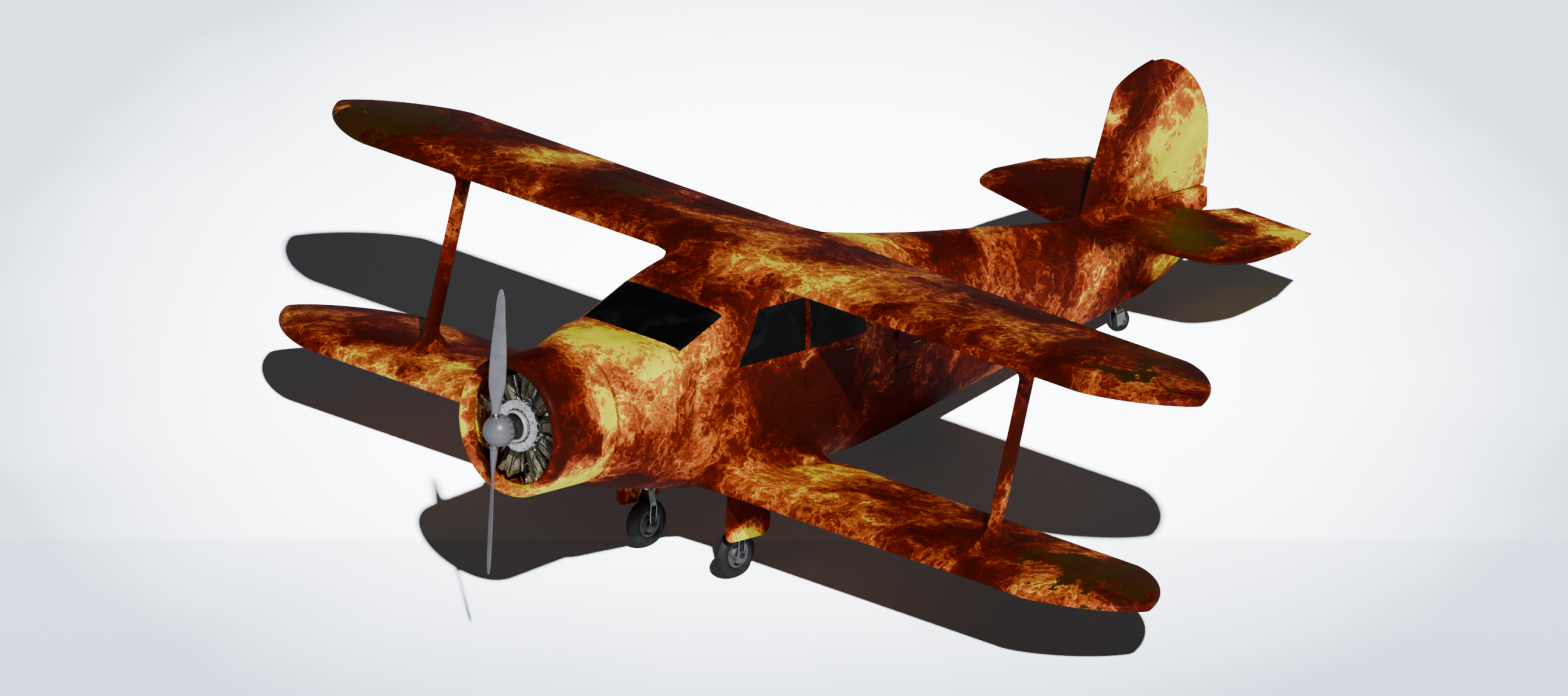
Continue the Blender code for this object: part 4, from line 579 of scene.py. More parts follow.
def put(tree, kind, values=None, **settings):
    """A new node in a tree. Values are numbers or the sockets that feed its inputs."""
    made = tree.nodes.new("ShaderNode" + kind)
    for key, value in settings.items():
        setattr(made, key, value)
    for key, value in (values or {}).items():
        if isinstance(value, bpy.types.NodeSocket):
            tree.links.new(value, made.inputs[key])
        else:
            made.inputs[key].default_value = value
    return made.outputs


def maths(tree, operation, *values):
    """Works on numbers or sockets."""
    return put(tree, "Math", dict(enumerate(values)), operation=operation)[0]


def vector_maths(tree, operation, *values, result="Vector", **named):
    """Works on vectors. What comes out is a vector, or a number where result is Value."""
    return put(tree, "VectorMath", {**dict(enumerate(values)), **named}, operation=operation)[result]


def blend(tree, share, first, second):
    """Mixes two colours, each of them a socket or three numbers."""
    first, second = (v if isinstance(v, bpy.types.NodeSocket) else (*v, 1.0) for v in (first, second))
    return put(tree, "Mix", {"Factor": share, 6: first, 7: second}, data_type="RGBA")[2]


def ranged(tree, value, low, high, start=0.0, end=1.0, smooth_ends=True):
    """Maps a value from one range to another, held at both ends."""
    kind = "SMOOTHSTEP" if smooth_ends else "LINEAR"
    names = ("Value", "From Min", "From Max", "To Min", "To Max")
    return put(tree, "MapRange", dict(zip(names, (value, low, high, start, end))), interpolation_type=kind)[0]


def ramp(tree, value, stops):
    """Colours along a range of values."""
    made = tree.nodes.new("ShaderNodeValToRGB")
    elements = made.color_ramp.elements
    while len(elements) < len(stops):
        elements.new(0.5)
    for element, (position, colour) in zip(elements, stops):
        element.position, element.color = position, (*colour, 1.0)
    tree.links.new(value, made.inputs[0])
    return made.outputs[0]


def noise(tree, vector, scale, detail, rough, distortion=0.0):
    """Cloudy noise, as the sockets Fac and Color."""
    names = ("Vector", "Scale", "Detail", "Roughness", "Distortion")
    return put(tree, "TexNoise", dict(zip(names, (vector, scale, detail, rough, distortion))))


def level_coordinates(tree):
    """Object coordinates turned level, with their origin at the nose."""
    pitch = math.atan2(-AFT[2], AFT[1])
    turned_nose = (NOSE @ LEFT, NOSE @ AFT, NOSE @ UP)
    values = {"Vector": put(tree, "TexCoord")["Object"], "Rotation": (pitch, 0.0, 0.0),
              "Location": [-v for v in turned_nose]}
    return put(tree, "Mapping", values, vector_type="POINT")[0]


def zone(tree, vector, place_at, size, weight):
    """An elliptical patch: full weight at its centre and none past its edge."""
    scale = [1 / v for v in size]
    near = vector_maths(tree, "MULTIPLY_ADD", vector, scale, [-a * b for a, b in zip(place_at, scale)])
    distance = vector_maths(tree, "LENGTH", near, result="Value")
    return ranged(tree, distance, PATCH_EDGE, PATCH_CORE, 0.0, weight)


# Hot (above 0) and dark (below 0) patches of the paint: centre, size and weight, in level metres
PATCHES = (
    ((0.15, 1.3, 0.58), (0.65, 0.36, 0.3), 0.39), ((0.62, 1.33, 0.18), (0.2, 0.3, 0.48), 0.34),
    ((0.36, 0.6, -0.44), (0.5, 0.56, 0.32), 0.78), ((0.58, 0.84, -0.05), (0.14, 0.2, 0.5), 0.44),
    ((-0.52, 0.26, 0.12), (0.18, 0.16, 0.46), 0.75), ((0.85, 2.78, 0.95), (1.0, 0.4, 0.3), 0.44),
    ((0.0, 4.25, 0.82), (0.4, 0.75, 0.2), 0.42), ((-2.6, 3.3, 0.97), (0.45, 0.6, 0.16), 0.44),
    ((-3.14, 2.2, -0.68), (0.65, 0.45, 0.2), 0.47), ((0.95, 3.12, -0.66), (0.35, 0.45, 0.14), 0.47),
    ((0.0, 7.82, 0.82), (0.3, 0.62, 0.56), 0.68), ((0.85, 7.95, 0.42), (0.85, 0.26, 0.2), 0.6),
    ((-0.85, 7.95, 0.42), (0.85, 0.26, 0.2), 0.6), ((0.0, 7.65, 0.02), (0.2, 0.65, 0.2), 0.47),
    ((0.61, 2.42, -1.17), (0.2, 0.4, 0.17), 0.6), ((0.0, 7.0, 1.32), (0.16, 0.14, 0.16), 0.39),
    ((0.5, 1.75, 0.15), (0.7, 1.1, 0.95), 0.17), ((0.75, 2.35, -0.62), (0.55, 0.55, 0.22), 0.16),
    ((0.64, 2.95, -0.25), (0.3, 0.62, 0.42), -0.3), ((0.4, 4.6, -0.2), (0.6, 1.1, 0.55), -0.1),
    ((0.9, 7.15, 0.42), (0.85, 0.55, 0.2), -0.16), ((-0.9, 7.15, 0.42), (0.85, 0.55, 0.2), -0.16),
    ((3.6, 3.2, 0.9), (1.6, 1.0, 0.3), -0.1), ((-3.95, 3.1, 0.9), (1.3, 1.0, 0.3), -0.14),
    ((3.6, 2.7, -0.72), (1.6, 1.0, 0.3), -0.08), ((0.15, 0.42, 0.46), (0.55, 0.42, 0.34), -0.26),
    ((3.19, 2.74, 0.1), (0.3, 0.6, 0.85), -0.24), ((-3.19, 2.74, 0.1), (0.3, 0.6, 0.85), -0.14),
)
# Where the paint has gone brown: centre, size and share
BROWN = (
    ((-4.25, 3.0, 0.9), (1.0, 0.9, 0.3), 0.47), ((4.1, 2.75, -0.72), (1.1, 0.9, 0.3), 0.43),
    ((4.2, 3.1, 0.9), (0.95, 0.9, 0.3), 0.33), ((-1.6, 3.2, 0.95), (0.7, 0.6, 0.2), 0.33),
    ((0.9, 7.2, 0.45), (0.8, 0.5, 0.2), 0.37), ((0.64, 3.0, -0.45), (0.2, 0.45, 0.25), 0.23),
)
# A patch is full within the first of these shares of its size and gone at the second
PATCH_CORE, PATCH_EDGE = 0.1, 1.25
# Clouds: scale, detail and roughness, how much heat they carry, and the heat that is everywhere
CLOUDS, CLOUD_HEAT, BASE_HEAT = (1.15, 3.0, 0.50), 1.45, 0.05
# Bright veins: scale, share of heat and half width
VEINS = ((2.4, 0.14, 0.07), (5.5, 0.15, 0.065), (11.0, 0.14, 0.070), (21.0, 0.09, 0.08))
# How far along the range of heat each colour of the paint stands
HEAT_STOPS = (("deep", 0.00), ("dark", 0.08), ("red", 0.22), ("orange", 0.41), ("amber", 0.60),
              ("yellow", 0.67), ("yellow", 1.00))


def new_group(name, outputs, inputs):
    """An empty node group with its sockets, and the nodes that stand for what goes in and comes out."""
    tree = bpy.data.node_groups.new(name, "ShaderNodeTree")
    for socket_name, kind in outputs:
        tree.interface.new_socket(socket_name, in_out="OUTPUT", socket_type="NodeSocket" + kind)
    for socket_name, value in inputs:
        socket = tree.interface.new_socket(socket_name, in_out="INPUT", socket_type="NodeSocketFloat")
        socket.default_value = value
    return tree, tree.nodes.new("NodeGroupInput").outputs, tree.nodes.new("NodeGroupOutput").inputs


def flame_pattern(paint):
    """Node group: fire drawn from clouds, fine bright veins and placed hot, dark and brown patches."""
    tree, given, out = new_group("flame pattern", (("Color", "Color"), ("Fine", "Float")),
                                 (("Heat shift", 0.0), ("Cloud scale", 1.0)))
    level = level_coordinates(tree)
    scaled = vector_maths(tree, "SCALE", level, Scale=given["Cloud scale"])
    drift = vector_maths(tree, "SUBTRACT", noise(tree, scaled, 1.7, 5.0, 0.6)["Color"], (0.5, 0.5, 0.5))
    bent = vector_maths(tree, "MULTIPLY_ADD", drift, (0.75, 0.75, 0.75), scaled)
    patch = vector_maths(tree, "MULTIPLY_ADD", drift, (0.85, 0.85, 0.6), level)
    heat = given["Heat shift"]
    for place_at, size, weight in PATCHES:
        heat = maths(tree, "ADD", heat, zone(tree, patch, place_at, size, weight))
    clouds = noise(tree, bent, *CLOUDS)["Fac"]
    heat = maths(tree, "MULTIPLY_ADD", maths(tree, "SUBTRACT", clouds, 0.5), CLOUD_HEAT, heat)
    for scale, share, width in VEINS:
        vein = noise(tree, bent, scale, 3.0, 0.50)["Fac"]
        vein = ranged(tree, maths(tree, "ABSOLUTE", maths(tree, "SUBTRACT", vein, 0.5)), width, 0.0)
        strength = ranged(tree, heat, -0.30, 0.25, 0.30, 1.0)
        heat = maths(tree, "MULTIPLY_ADD", maths(tree, "MULTIPLY", vein, strength), share, heat)
    heat = maths(tree, "ADD", heat, BASE_HEAT)
    colour = ramp(tree, heat, [(position, getattr(paint, name)) for name, position in HEAT_STOPS])
    speck = noise(tree, scaled, 3.2, 9.0, 0.66, 0.4)["Fac"]
    for place_at, size, weight in BROWN:
        speck = maths(tree, "ADD", speck, zone(tree, patch, place_at, size, weight))
    colour = blend(tree, ranged(tree, speck, 0.775, 0.79), colour, paint.brown)
    shade = ranged(tree, noise(tree, bent, 5.0, 6.0, 0.6)["Fac"], 0.3, 0.7, 0.80, 1.12)
    tree.links.new(vector_maths(tree, "SCALE", colour, Scale=shade), out["Color"])
    tree.links.new(noise(tree, level, 55.0, 3.0, 0.6)["Fac"], out["Fine"])
    return tree


def grime_group():
    """Node group: soft stains and fine scratches."""
    tree, given, out = new_group("grime", (("Stain", "Float"), ("Scratch", "Float")), (("Scale", 1.0),))
    level = vector_maths(tree, "SCALE", level_coordinates(tree), Scale=given["Scale"])
    stain = ranged(tree, noise(tree, level, 9.0, 6.0, 0.65)["Fac"], 0.38, 0.68)
    streak = vector_maths(tree, "MULTIPLY", level, (90.0, 14.0, 160.0))
    scratch = ranged(tree, noise(tree, streak, 1.0, 3.0, 0.6)["Fac"], 0.42, 0.72)
    tree.links.new(stain, out["Stain"])
    tree.links.new(scratch, out["Scratch"])
    return tree


def group_node(tree, group, **values):
    """A node group in a material, with the material's own values."""
    made = tree.nodes.new("ShaderNodeGroup")
    made.node_tree = group
    for key, value in values.items():
        made.inputs[key.replace("_", " ").capitalize()].default_value = value
    return made.outputs


def material(name, **plain):
    """A new material and its shader. Plain settings go on the shader's own sockets."""
    made = bpy.data.materials.new(name)
    made.use_nodes = True
    shader = made.node_tree.nodes["Principled BSDF"]
    for key, value in plain.items():
        shader.inputs[key.replace("_", " ")].default_value = value
    return made, made.node_tree, shader.inputs


def bumped(tree, height, strength, distance):
    """A normal that follows a height."""
    return put(tree, "Bump", {"Height": height, "Strength": strength, "Distance": distance})[0]


def finish(name):
    """A material by its name, made the first time that it is asked for."""
    _, make, *values = FINISHES[name]
    return bpy.data.materials.get(name) or make(name, *values)


def flame_paint(name):
    """Dull paint in the flame pattern, with a fine grain in its gloss and its surface."""
    paint = bpy.context.scene.biplane_paint
    group = bpy.data.node_groups.get("flame pattern") or flame_pattern(paint)
    made, tree, shader = material(name, Coat_Weight=0.015, Coat_Roughness=0.20, Specular_IOR_Level=0.05)
    fire = group_node(tree, group, Heat_shift=paint.heat, Cloud_scale=paint.cloud_scale)
    dullness = ranged(tree, fire["Fine"], 0.3, 0.7, paint.roughness - 0.04, paint.roughness + 0.05)
    tree.links.new(fire["Color"], shader["Base Color"])
    tree.links.new(dullness, shader["Roughness"])
    tree.links.new(bumped(tree, fire["Fine"], 0.05, 0.0006), shader["Normal"])
    return made


def worn(name, base, stained, rough, metal=0.0, scale=1.0, bump=0.15, **plain):
    """A finish whose colour and gloss vary with stains and fine scratches."""
    group = bpy.data.node_groups.get("grime") or grime_group()
    made, tree, shader = material(name, Metallic=metal, **plain)
    marks = group_node(tree, group, Scale=scale)
    tree.links.new(blend(tree, marks["Stain"], base, stained), shader["Base Color"])
    tree.links.new(ranged(tree, marks["Stain"], 0.0, 1.0, rough, rough + 0.16), shader["Roughness"])
    tree.links.new(bumped(tree, marks["Scratch"], bump, 0.0008), shader["Normal"])
    return made


def dark_glass(name):
    """Dark glass with a painted reflection: faint grey clouds in its colour, and the glass rougher where they
    lie.
    """
    made, tree, shader = material(name, Transmission_Weight=0.08, IOR=1.45, Specular_IOR_Level=0.10)
    reflection_clouds = ranged(tree, noise(tree, level_coordinates(tree), 3.4, 3.0, 0.5, 0.3)["Fac"], 0.46, 0.72)
    # Painted reflection: faint grey clouds put into the glass's colour.
    colour = blend(tree, reflection_clouds, (0.002, 0.002, 0.0025), (0.009, 0.0095, 0.011))
    tree.links.new(colour, shader["Base Color"])
    tree.links.new(ranged(tree, reflection_clouds, 0.0, 1.0, 0.08, 0.26), shader["Roughness"])
    return made


def leather(name):
    """Brown leather: a cell grain with creases, duller where it is rubbed."""
    made, tree, shader = material(name, Sheen_Weight=0.15)
    level = level_coordinates(tree)
    cells = put(tree, "TexVoronoi", {"Vector": level, "Scale": 260.0}, feature="DISTANCE_TO_EDGE")["Distance"]
    folds = noise(tree, level, 16.0, 6.0, 0.6)["Fac"]
    colour = ramp(tree, folds, ((0.25, (0.035, 0.014, 0.007)), (0.75, (0.105, 0.045, 0.020))))
    height = maths(tree, "ADD", ranged(tree, cells, 0.0, 0.12), maths(tree, "MULTIPLY", folds, 0.6))
    tree.links.new(colour, shader["Base Color"])
    tree.links.new(ranged(tree, folds, 0.3, 0.7, 0.42, 0.60), shader["Roughness"])
    tree.links.new(bumped(tree, height, 0.25, 0.0012), shader["Normal"])
    return made


def rubber(name):
    """Black rubber with a fine dusty grain."""
    made, tree, shader = material(name, Specular_IOR_Level=0.4)
    level = level_coordinates(tree)
    grain, dust = noise(tree, level, 320.0, 2.0, 0.5)["Fac"], noise(tree, level, 12.0, 5.0, 0.65)["Fac"]
    tree.links.new(ramp(tree, dust, ((0.35, (0.008, 0.008, 0.009)), (0.80, (0.030, 0.029, 0.028)))),
                   shader["Base Color"])
    tree.links.new(ranged(tree, dust, 0.3, 0.7, 0.46, 0.66), shader["Roughness"])
    tree.links.new(bumped(tree, grain, 0.20, 0.0005), shader["Normal"])
    return made


# Each finish: the record's slot that it belongs to, how it is made, and the values of a worn one
FINISHES = {
    "flame paint": ("paint", flame_paint),
    "dark glass": ("glass", dark_glass),
    "seat leather": ("leather", leather),
    "tyre rubber": ("tyre", rubber),
    "white metal": ("engine", worn, (0.86, 0.88, 0.92), (0.70, 0.73, 0.78), 0.22, 0.35, 1.5),
    "bright steel": ("steel", worn, (0.62, 0.64, 0.67), (0.40, 0.42, 0.45), 0.20, 1.0, 2.0),
    "polished chrome": ("engine", worn, (0.80, 0.82, 0.85), (0.60, 0.62, 0.65), 0.08, 1.0, 2.0, 0.05),
    "dark steel": ("steel", worn, (0.045, 0.045, 0.048), (0.085, 0.080, 0.075), 0.38, 0.6, 2.0),
    "black enamel": ("engine", worn, (0.010, 0.010, 0.011), (0.035, 0.032, 0.030), 0.30, 0.0, 2.0),
    "olive bronze": ("engine", worn, (0.360, 0.310, 0.165), (0.180, 0.150, 0.070), 0.36, 0.25, 3.0),
    "pale bronze": ("engine", worn, (0.62, 0.58, 0.42), (0.36, 0.32, 0.19), 0.36, 0.20, 3.0),
    "copper": ("engine", worn, (0.46, 0.16, 0.06), (0.22, 0.07, 0.03), 0.30, 0.9, 2.0),
    "propeller grey": ("propeller", worn, (0.205, 0.20, 0.235), (0.165, 0.16, 0.19), 0.34, 0.15, 1.0, 0.06),
    "wheel grey": ("hub", worn, (0.16, 0.17, 0.18), (0.085, 0.085, 0.090), 0.42, 0.3, 2.0),
    "firewall red": ("paint", worn, (0.085, 0.010, 0.006), (0.030, 0.005, 0.003), 0.50, 0.0, 1.5),
    "panel black": ("panel", worn, (0.014, 0.014, 0.015), (0.030, 0.029, 0.028), 0.55, 0.0, 4.0, 0.4),
    "dial white": ("panel", worn, (0.70, 0.70, 0.66), (0.55, 0.55, 0.50), 0.40, 0.0, 4.0, 0.05),
}


# ---- fuselage, doors and windows

def along_x(outline):
    """A cutter through the left side; the right side's is its mirror image."""
    return slab(outline, "x", *SIDE_CUT)


def window_outline(front, rear, rake, rear_rake, margin=0.0):
    """Corners of a side window between the sill and the head, drawn in by margin."""
    return [(front + margin, SILL + margin), (rear - margin, SILL + margin),
            (rear - rear_rake - margin, HEAD - margin), (front + rake + margin, HEAD - margin)]


def whole_window(margin=0.0):
    """The right side's long window."""
    return window_outline(WINDOW_FRONT_Y, WINDOW_REAR_Y, WINDOW_RAKE, WINDOW_REAR_RAKE, margin)


def fixed_window(margin=0.0):
    """The left side's window ahead of the door."""
    return window_outline(WINDOW_FRONT_Y, DOOR_FRONT_Y - MOVING_GAP - DOOR_FRAME, WINDOW_RAKE, 0.0, margin)


def door_window(margin=0.0):
    """The window in the cabin door."""
    front, rear = DOOR_FRONT_Y + DOOR_FRAME, WINDOW_REAR_Y - DOOR_FRAME
    return window_outline(front, rear, 0.0, WINDOW_REAR_RAKE, margin)


def door_outline(margin=0.0):
    """Corners of the cabin door, widened by margin."""
    front, top = DOOR_FRONT_Y - margin, HEAD + DOOR_FRAME + margin
    return [(front, DOOR_BOTTOM - margin), (DOOR_BOTTOM_REAR_Y + margin / 2, DOOR_BOTTOM - margin),
            (WINDOW_REAR_Y + DOOR_FRAME + margin, SILL), (WINDOW_REAR_Y - WINDOW_REAR_RAKE + margin, top),
            (front, top)]


def baggage_outline(margin=0.0):
    """Corners of the baggage door, widened by margin."""
    front, rear, low, high = BAGGAGE
    front, rear, low, high = front - margin, rear + margin, low - margin, high + margin
    return [(front, low), (rear, low), (rear, high), (front, high)]


def screen_slab(margin=0.0):
    """A slab square to the windscreen, from inside to outside."""
    base, top = np.array(SCREEN_BASE), np.array(SCREEN_TOP)
    length = np.linalg.norm(top - base)
    ahead = (top - base) / length
    outward = np.array([-ahead[1], ahead[0]])
    half = SCREEN_HALF_WIDTH - margin
    inset = SCREEN_FRAME + margin
    rings = []
    for height in SCREEN_CUT:
        low = base + ahead * inset + outward * height
        high = base + ahead * (length - inset) + outward * height
        rings.append([(-half, *low), (half, *low), (half, *high), (-half, *high)])
    return grid(np.array(rings))


def body_slice(low, high, inset, steps=40, columns=96, floor=None, roof=None):
    """A closed stretch of the fuselage, drawn in by inset and kept between a floor and a roof."""
    y = np.linspace(low, high, steps)
    y = np.unique(np.append(y, [v for v in CREASES if low < v < high]))[:, None]
    angle = (np.arange(columns) + 0.5)[None] * math.tau / columns
    points = body_ring(y, angle, inset)
    if roof is not None:
        points[..., 2] = np.clip(points[..., 2], floor, roof)
    return grid(points)


def cabin_space():
    """The hollow inside the fuselage."""
    front, rear, floor, roof = CABIN
    return body_slice(front, rear, WALL, floor=floor, roof=roof)


def taken(*parts):
    """Cutters that take parts away from a piece."""
    return [("DIFFERENCE", part) for part in parts]


def knuckles(name):
    """Door hinge knuckles beside the door's front edge, on their joint's axis."""
    hinge = np.array(JOINTS[name]["pos_m"]) - NOSE
    x, y = hinge @ LEFT, hinge @ AFT
    low, high = (DOOR_BOTTOM, HEAD) if name.startswith("cabin") else BAGGAGE[2:]
    parts = {"body": [], "door": []}
    for share in (0.18, 0.72):
        base = mix(low, high, share)
        for owner, start in (("body", base), ("door", base + 0.0353)):
            path = [(x, y, start + d) for d in (0.0, 0.003, 0.032, 0.035)]
            parts[owner].append(tube(path, [0.008, 0.010, 0.010, 0.008], 16))
            skin = float(skin_x(y, start))
            reach = -0.016 if owner == "body" else 0.016
            ends = sorted((y, y + reach))
            parts[owner].append(block((skin - 0.02, ends[0], start + 0.001), (x, ends[1], start + 0.034)))
    return parts


def make_door(name, outline, holes, surface):
    """A door cut from the fuselage's skin, with its knuckles and its bent bar handle."""
    paint, rows = "flame paint", surface[:, 0, 1]
    low, high = outline[0][0] - 0.1, max(v for v, _ in outline) + 0.1
    door = build(name + "_skin", [grid(surface[(rows > low) & (rows < high)])], paint, name, (name,))
    carve(door, *taken(cabin_space()), ("INTERSECT", along_x(outline)), *taken(*map(along_x, holes)))
    made = knuckles(name + "_swing")
    build(name + "_body_knuckles", made["body"], paint, bevel=0.001)
    build(name + "_knuckles", made["door"], paint, name, bevel=0.001)
    y, z = HANDLES[name]
    grip = [(float(skin_x(v, z)) + d, v, z) for v, d in (
        (y, -0.004), (y, 0.012), (y - 0.012, 0.018), (y - 0.075, 0.018), (y - 0.09, 0.012))]
    bar = tube(grip, [0.007, 0.006, 0.005, 0.005, 0.004], 10)
    build(name + "_handle", [bar], "bright steel", name, crease=60)


def make_fuselage(shape):
    """The faired fuselage, hollow and with its openings, its two doors, and the bosses above the legs."""
    paint = "flame paint"
    surface = body_surface(shape.skin_spacing)
    skin = build("fuselage_skin", [grid(surface)], paint, "airframe", ("fuselage",))
    carve(skin, *taken(
        cabin_space(), screen_slab(), mirrored(along_x(whole_window())), along_x(fixed_window()),
        along_x(door_outline(MOVING_GAP)), along_x(baggage_outline(MOVING_GAP)),
        *(slab(vent, "x", VENT_FLOOR_X, ROOT_X) for vent in VENTS)))
    make_door("cabin_door", door_outline(), [door_window()], surface)
    make_door("baggage_door", baggage_outline(), [], surface)
    profile = [(0.0001, LEG_TOP), (0.060, LEG_TOP), (0.060, LEG_TOP + 0.03), (0.055, LEG_TOP + 0.2),
               (0.0001, LEG_TOP + 0.2)]
    bosses = [turned(profile, "z", 40, (sign * TRACK / 2, WHEEL_Y, 0)) for sign in SIDES.values()]
    build("leg_bosses", bosses, paint, bevel=0.003)


def glass_slice(low, high):
    """The closed shell of glass just inside the skin, as an outer and an inner solid."""
    outer = body_slice(low, high, GLASS_RECESS, 30, 120)
    return outer, body_slice(low - 0.01, high + 0.01, GLASS_RECESS + 0.006, 30, 120)


def make_windows():
    """Smooth panes in the windscreen, the side windows and the cabin door."""
    glass = "dark glass"
    panes = (
        ("windscreen", SCREEN_BASE[0] - 0.2, SCREEN_TOP[0] + 0.2, screen_slab(SEAT_GAP),
         "airframe"),
        ("side_window_left", WINDOW_FRONT_Y - 0.1, DOOR_FRONT_Y + 0.1, along_x(fixed_window(SEAT_GAP)),
         "airframe"),
        ("side_window_right", WINDOW_FRONT_Y - 0.1, WINDOW_REAR_Y + 0.1,
         mirrored(along_x(whole_window(SEAT_GAP))),
         "airframe"),
        ("door_window", DOOR_FRONT_Y - 0.1, WINDOW_REAR_Y + 0.1, along_x(door_window(SEAT_GAP)),
         "cabin_door"),
    )
    for name, low, high, outline, body in panes:
        outer, inner = glass_slice(low, high)
        pane = build(name + "_glass", [outer], glass, body, (name,))
        carve(pane, *taken(inner), ("INTERSECT", outline))


# ---- wings and tail

def cove(y, z, radius, reach):
    """Outline that clears a control surface: a round cove ahead of the hinge and all that lies behind."""
    front = arc((y, z), radius, 270, 90, 20)
    below = [(y + reach, z + reach), (y + reach, z - reach), (y, z - reach)]
    return np.vstack([below, front, [(y, z + reach)]])


def wing_grid(wing, stations, count):
    """Sections of a wing, each from the rear edge over the top to the front and back below."""
    share = 0.5 * (1 - np.cos(math.pi * np.arange(count + 1) / count))
    x = np.asarray(stations)[:, None]
    front, rear, _ = wing_limits(wing, x)
    y = mix(front, rear, np.concatenate([share[::-1], share[1:]])[None])
    side = np.concatenate([np.ones(count + 1), -np.ones(count)])[None]
    return joined(x, y, wing_skin(wing, x, y, side))


def wing_surface(wing):
    """An aileron or a flap: the wing's own skins behind the hinge, closed by a round nose on it."""
    y, z, radius = hinge_of(wing)
    skin_y = mix(wing.front + wing.chord, y, np.linspace(0, 1, 10)[:-1])
    nose = arc((y, z), radius, 90, 270, 20)
    ring_y = np.concatenate([skin_y, nose[:, 0], skin_y[::-1]])
    top, bottom = wing_skin(wing, 0.0, skin_y, 1), wing_skin(wing, 0.0, skin_y[::-1], -1)
    ring_z = np.concatenate([top, nose[:, 1], bottom])
    x = np.linspace(SURFACE_INNER_X, SURFACE_OUTER_X, 8)[:, None]
    return grid(joined(x, ring_y[None], ring_z[None]))


def make_wings():
    """Four wing panels with rounded tips, each with its bay, and their ailerons and flaps on pins."""
    paint = "flame paint"
    start = SEMI_SPAN - TIP_LENGTH
    tip = start + TIP_LENGTH * np.sin(math.pi / 2 * np.linspace(0.02, 0.909, 26))
    stations = np.concatenate([np.linspace(ROOT_X + SEAT_GAP, start, 16), tip])
    pin_spans = ((SURFACE_INNER_X - 0.025, SURFACE_INNER_X - SEAT_GAP),
                 (SURFACE_OUTER_X + SEAT_GAP, SURFACE_OUTER_X + 0.025))
    for wing, label, surface in ((UPPER, "upper", "aileron"), (LOWER, "lower", "flap")):
        y, z, radius = hinge_of(wing)
        bay = slab(cove(y, z, radius + MOVING_GAP, wing.chord), "x",
                   SURFACE_INNER_X - MOVING_GAP, SURFACE_OUTER_X + MOVING_GAP)
        pins = [tube([(v, y, z) for v in np.linspace(a, b, 3)], 0.008, 14) for a, b in pin_spans]
        panel, flap = grid(wing_grid(wing, stations, 32)), wing_surface(wing)
        for side, sign in SIDES.items():
            name, body = f"{label}_wing_{side}", f"{surface}_{side}"
            on_side = (lambda part: part) if sign > 0 else mirrored
            made = build(name + "_skin", [on_side(panel)], paint, "airframe", (name,))
            carve(made, *taken(on_side(bay)))
            build(name + "_pins", pins, "bright steel", mirror=sign < 0)
            build(body + "_skin", [flap], paint, body, (body,), mirror=sign < 0, bevel=0.0015)


def strut_surface():
    """An interplane strut: ellipses that widen towards each wing and follow its skin there."""
    t = np.linspace(0, 1, 90)
    share = (0.5 - 0.5 * np.cos(math.pi * t))[:, None]
    foot_z = wing_skin(LOWER, STRUT_X, STRUT_FOOT_Y, 1)
    head_z = wing_skin(UPPER, STRUT_X, STRUT_HEAD_Y, -1)
    z = mix(foot_z, head_z, share)
    foot = np.clip(1 - (z - foot_z) / STRUT_FLARE, 0, 1)
    head = np.clip(1 - (head_z - z) / STRUT_FLARE, 0, 1)
    chord = STRUT_CHORD + 0.43 * foot**2.2 + 0.33 * head**2.2
    thick = STRUT_THICKNESS * (1 + 1.1 * np.maximum(foot, head) ** 2)
    angle = (np.arange(48) + 0.5)[None] * math.tau / 48
    x = STRUT_X + thick / 2 * np.sin(angle)
    y = mix(STRUT_FOOT_Y, STRUT_HEAD_Y, share) - chord / 2 * np.cos(angle)
    low, high = wing_skin(LOWER, x, y, 1) + 0.0006, wing_skin(UPPER, x, y, -1) - 0.0006
    near_foot, near_head = smooth(share, 0.045, 0.0), smooth(share, 0.955, 1.0)
    z = mix(mix(z + 0 * x, low, near_foot), high, near_head)
    return np.stack([x, y, np.clip(z, low, high)], -1)


def make_struts():
    """The two struts between the wings."""
    surface = grid(strut_surface())
    for side, sign in SIDES.items():
        build(f"strut_{side}_skin", [surface], "flame paint", "airframe", (f"strut_{side}",),
              crease=50, mirror=sign < 0)


def both_skins(half):
    """Half thicknesses along a chord followed by those of the other skin, back to where they began."""
    return np.concatenate([half, -half[:, :0:-1]], 1)


def fin_surface():
    """Sections of the fin at each height: a leaning front edge, rounded over at the top."""
    share = np.concatenate([np.linspace(0, 0.8, 14), np.linspace(0.82, 0.99, 16)])[:, None]
    z = mix(FAIRING_TOP + SEAT_GAP, FIN_TOP, share)
    front = FIN_BASE_FRONT_Y + 0.38 * share + 0.42 * np.clip((share - 0.80) / 0.20, 0, None) ** 2.4
    rounding = np.maximum(0, (z - FIN_TOP + 0.07) / 0.075)
    size = mix(1.0, 0.55, share) * np.sqrt(np.maximum(1 - rounding**2, 0.05))
    c = (np.arange(25) / 24)[None] ** 1.6
    y = mix(front, RUDDER_HINGE_Y, c)
    half = tail_half(c, FIN_HALF * size, RUDDER_NOSE * np.minimum(size * 1.4, 1.0))
    y = np.concatenate([y, y[:, :0:-1]], 1)
    return joined(both_skins(half), y, z)


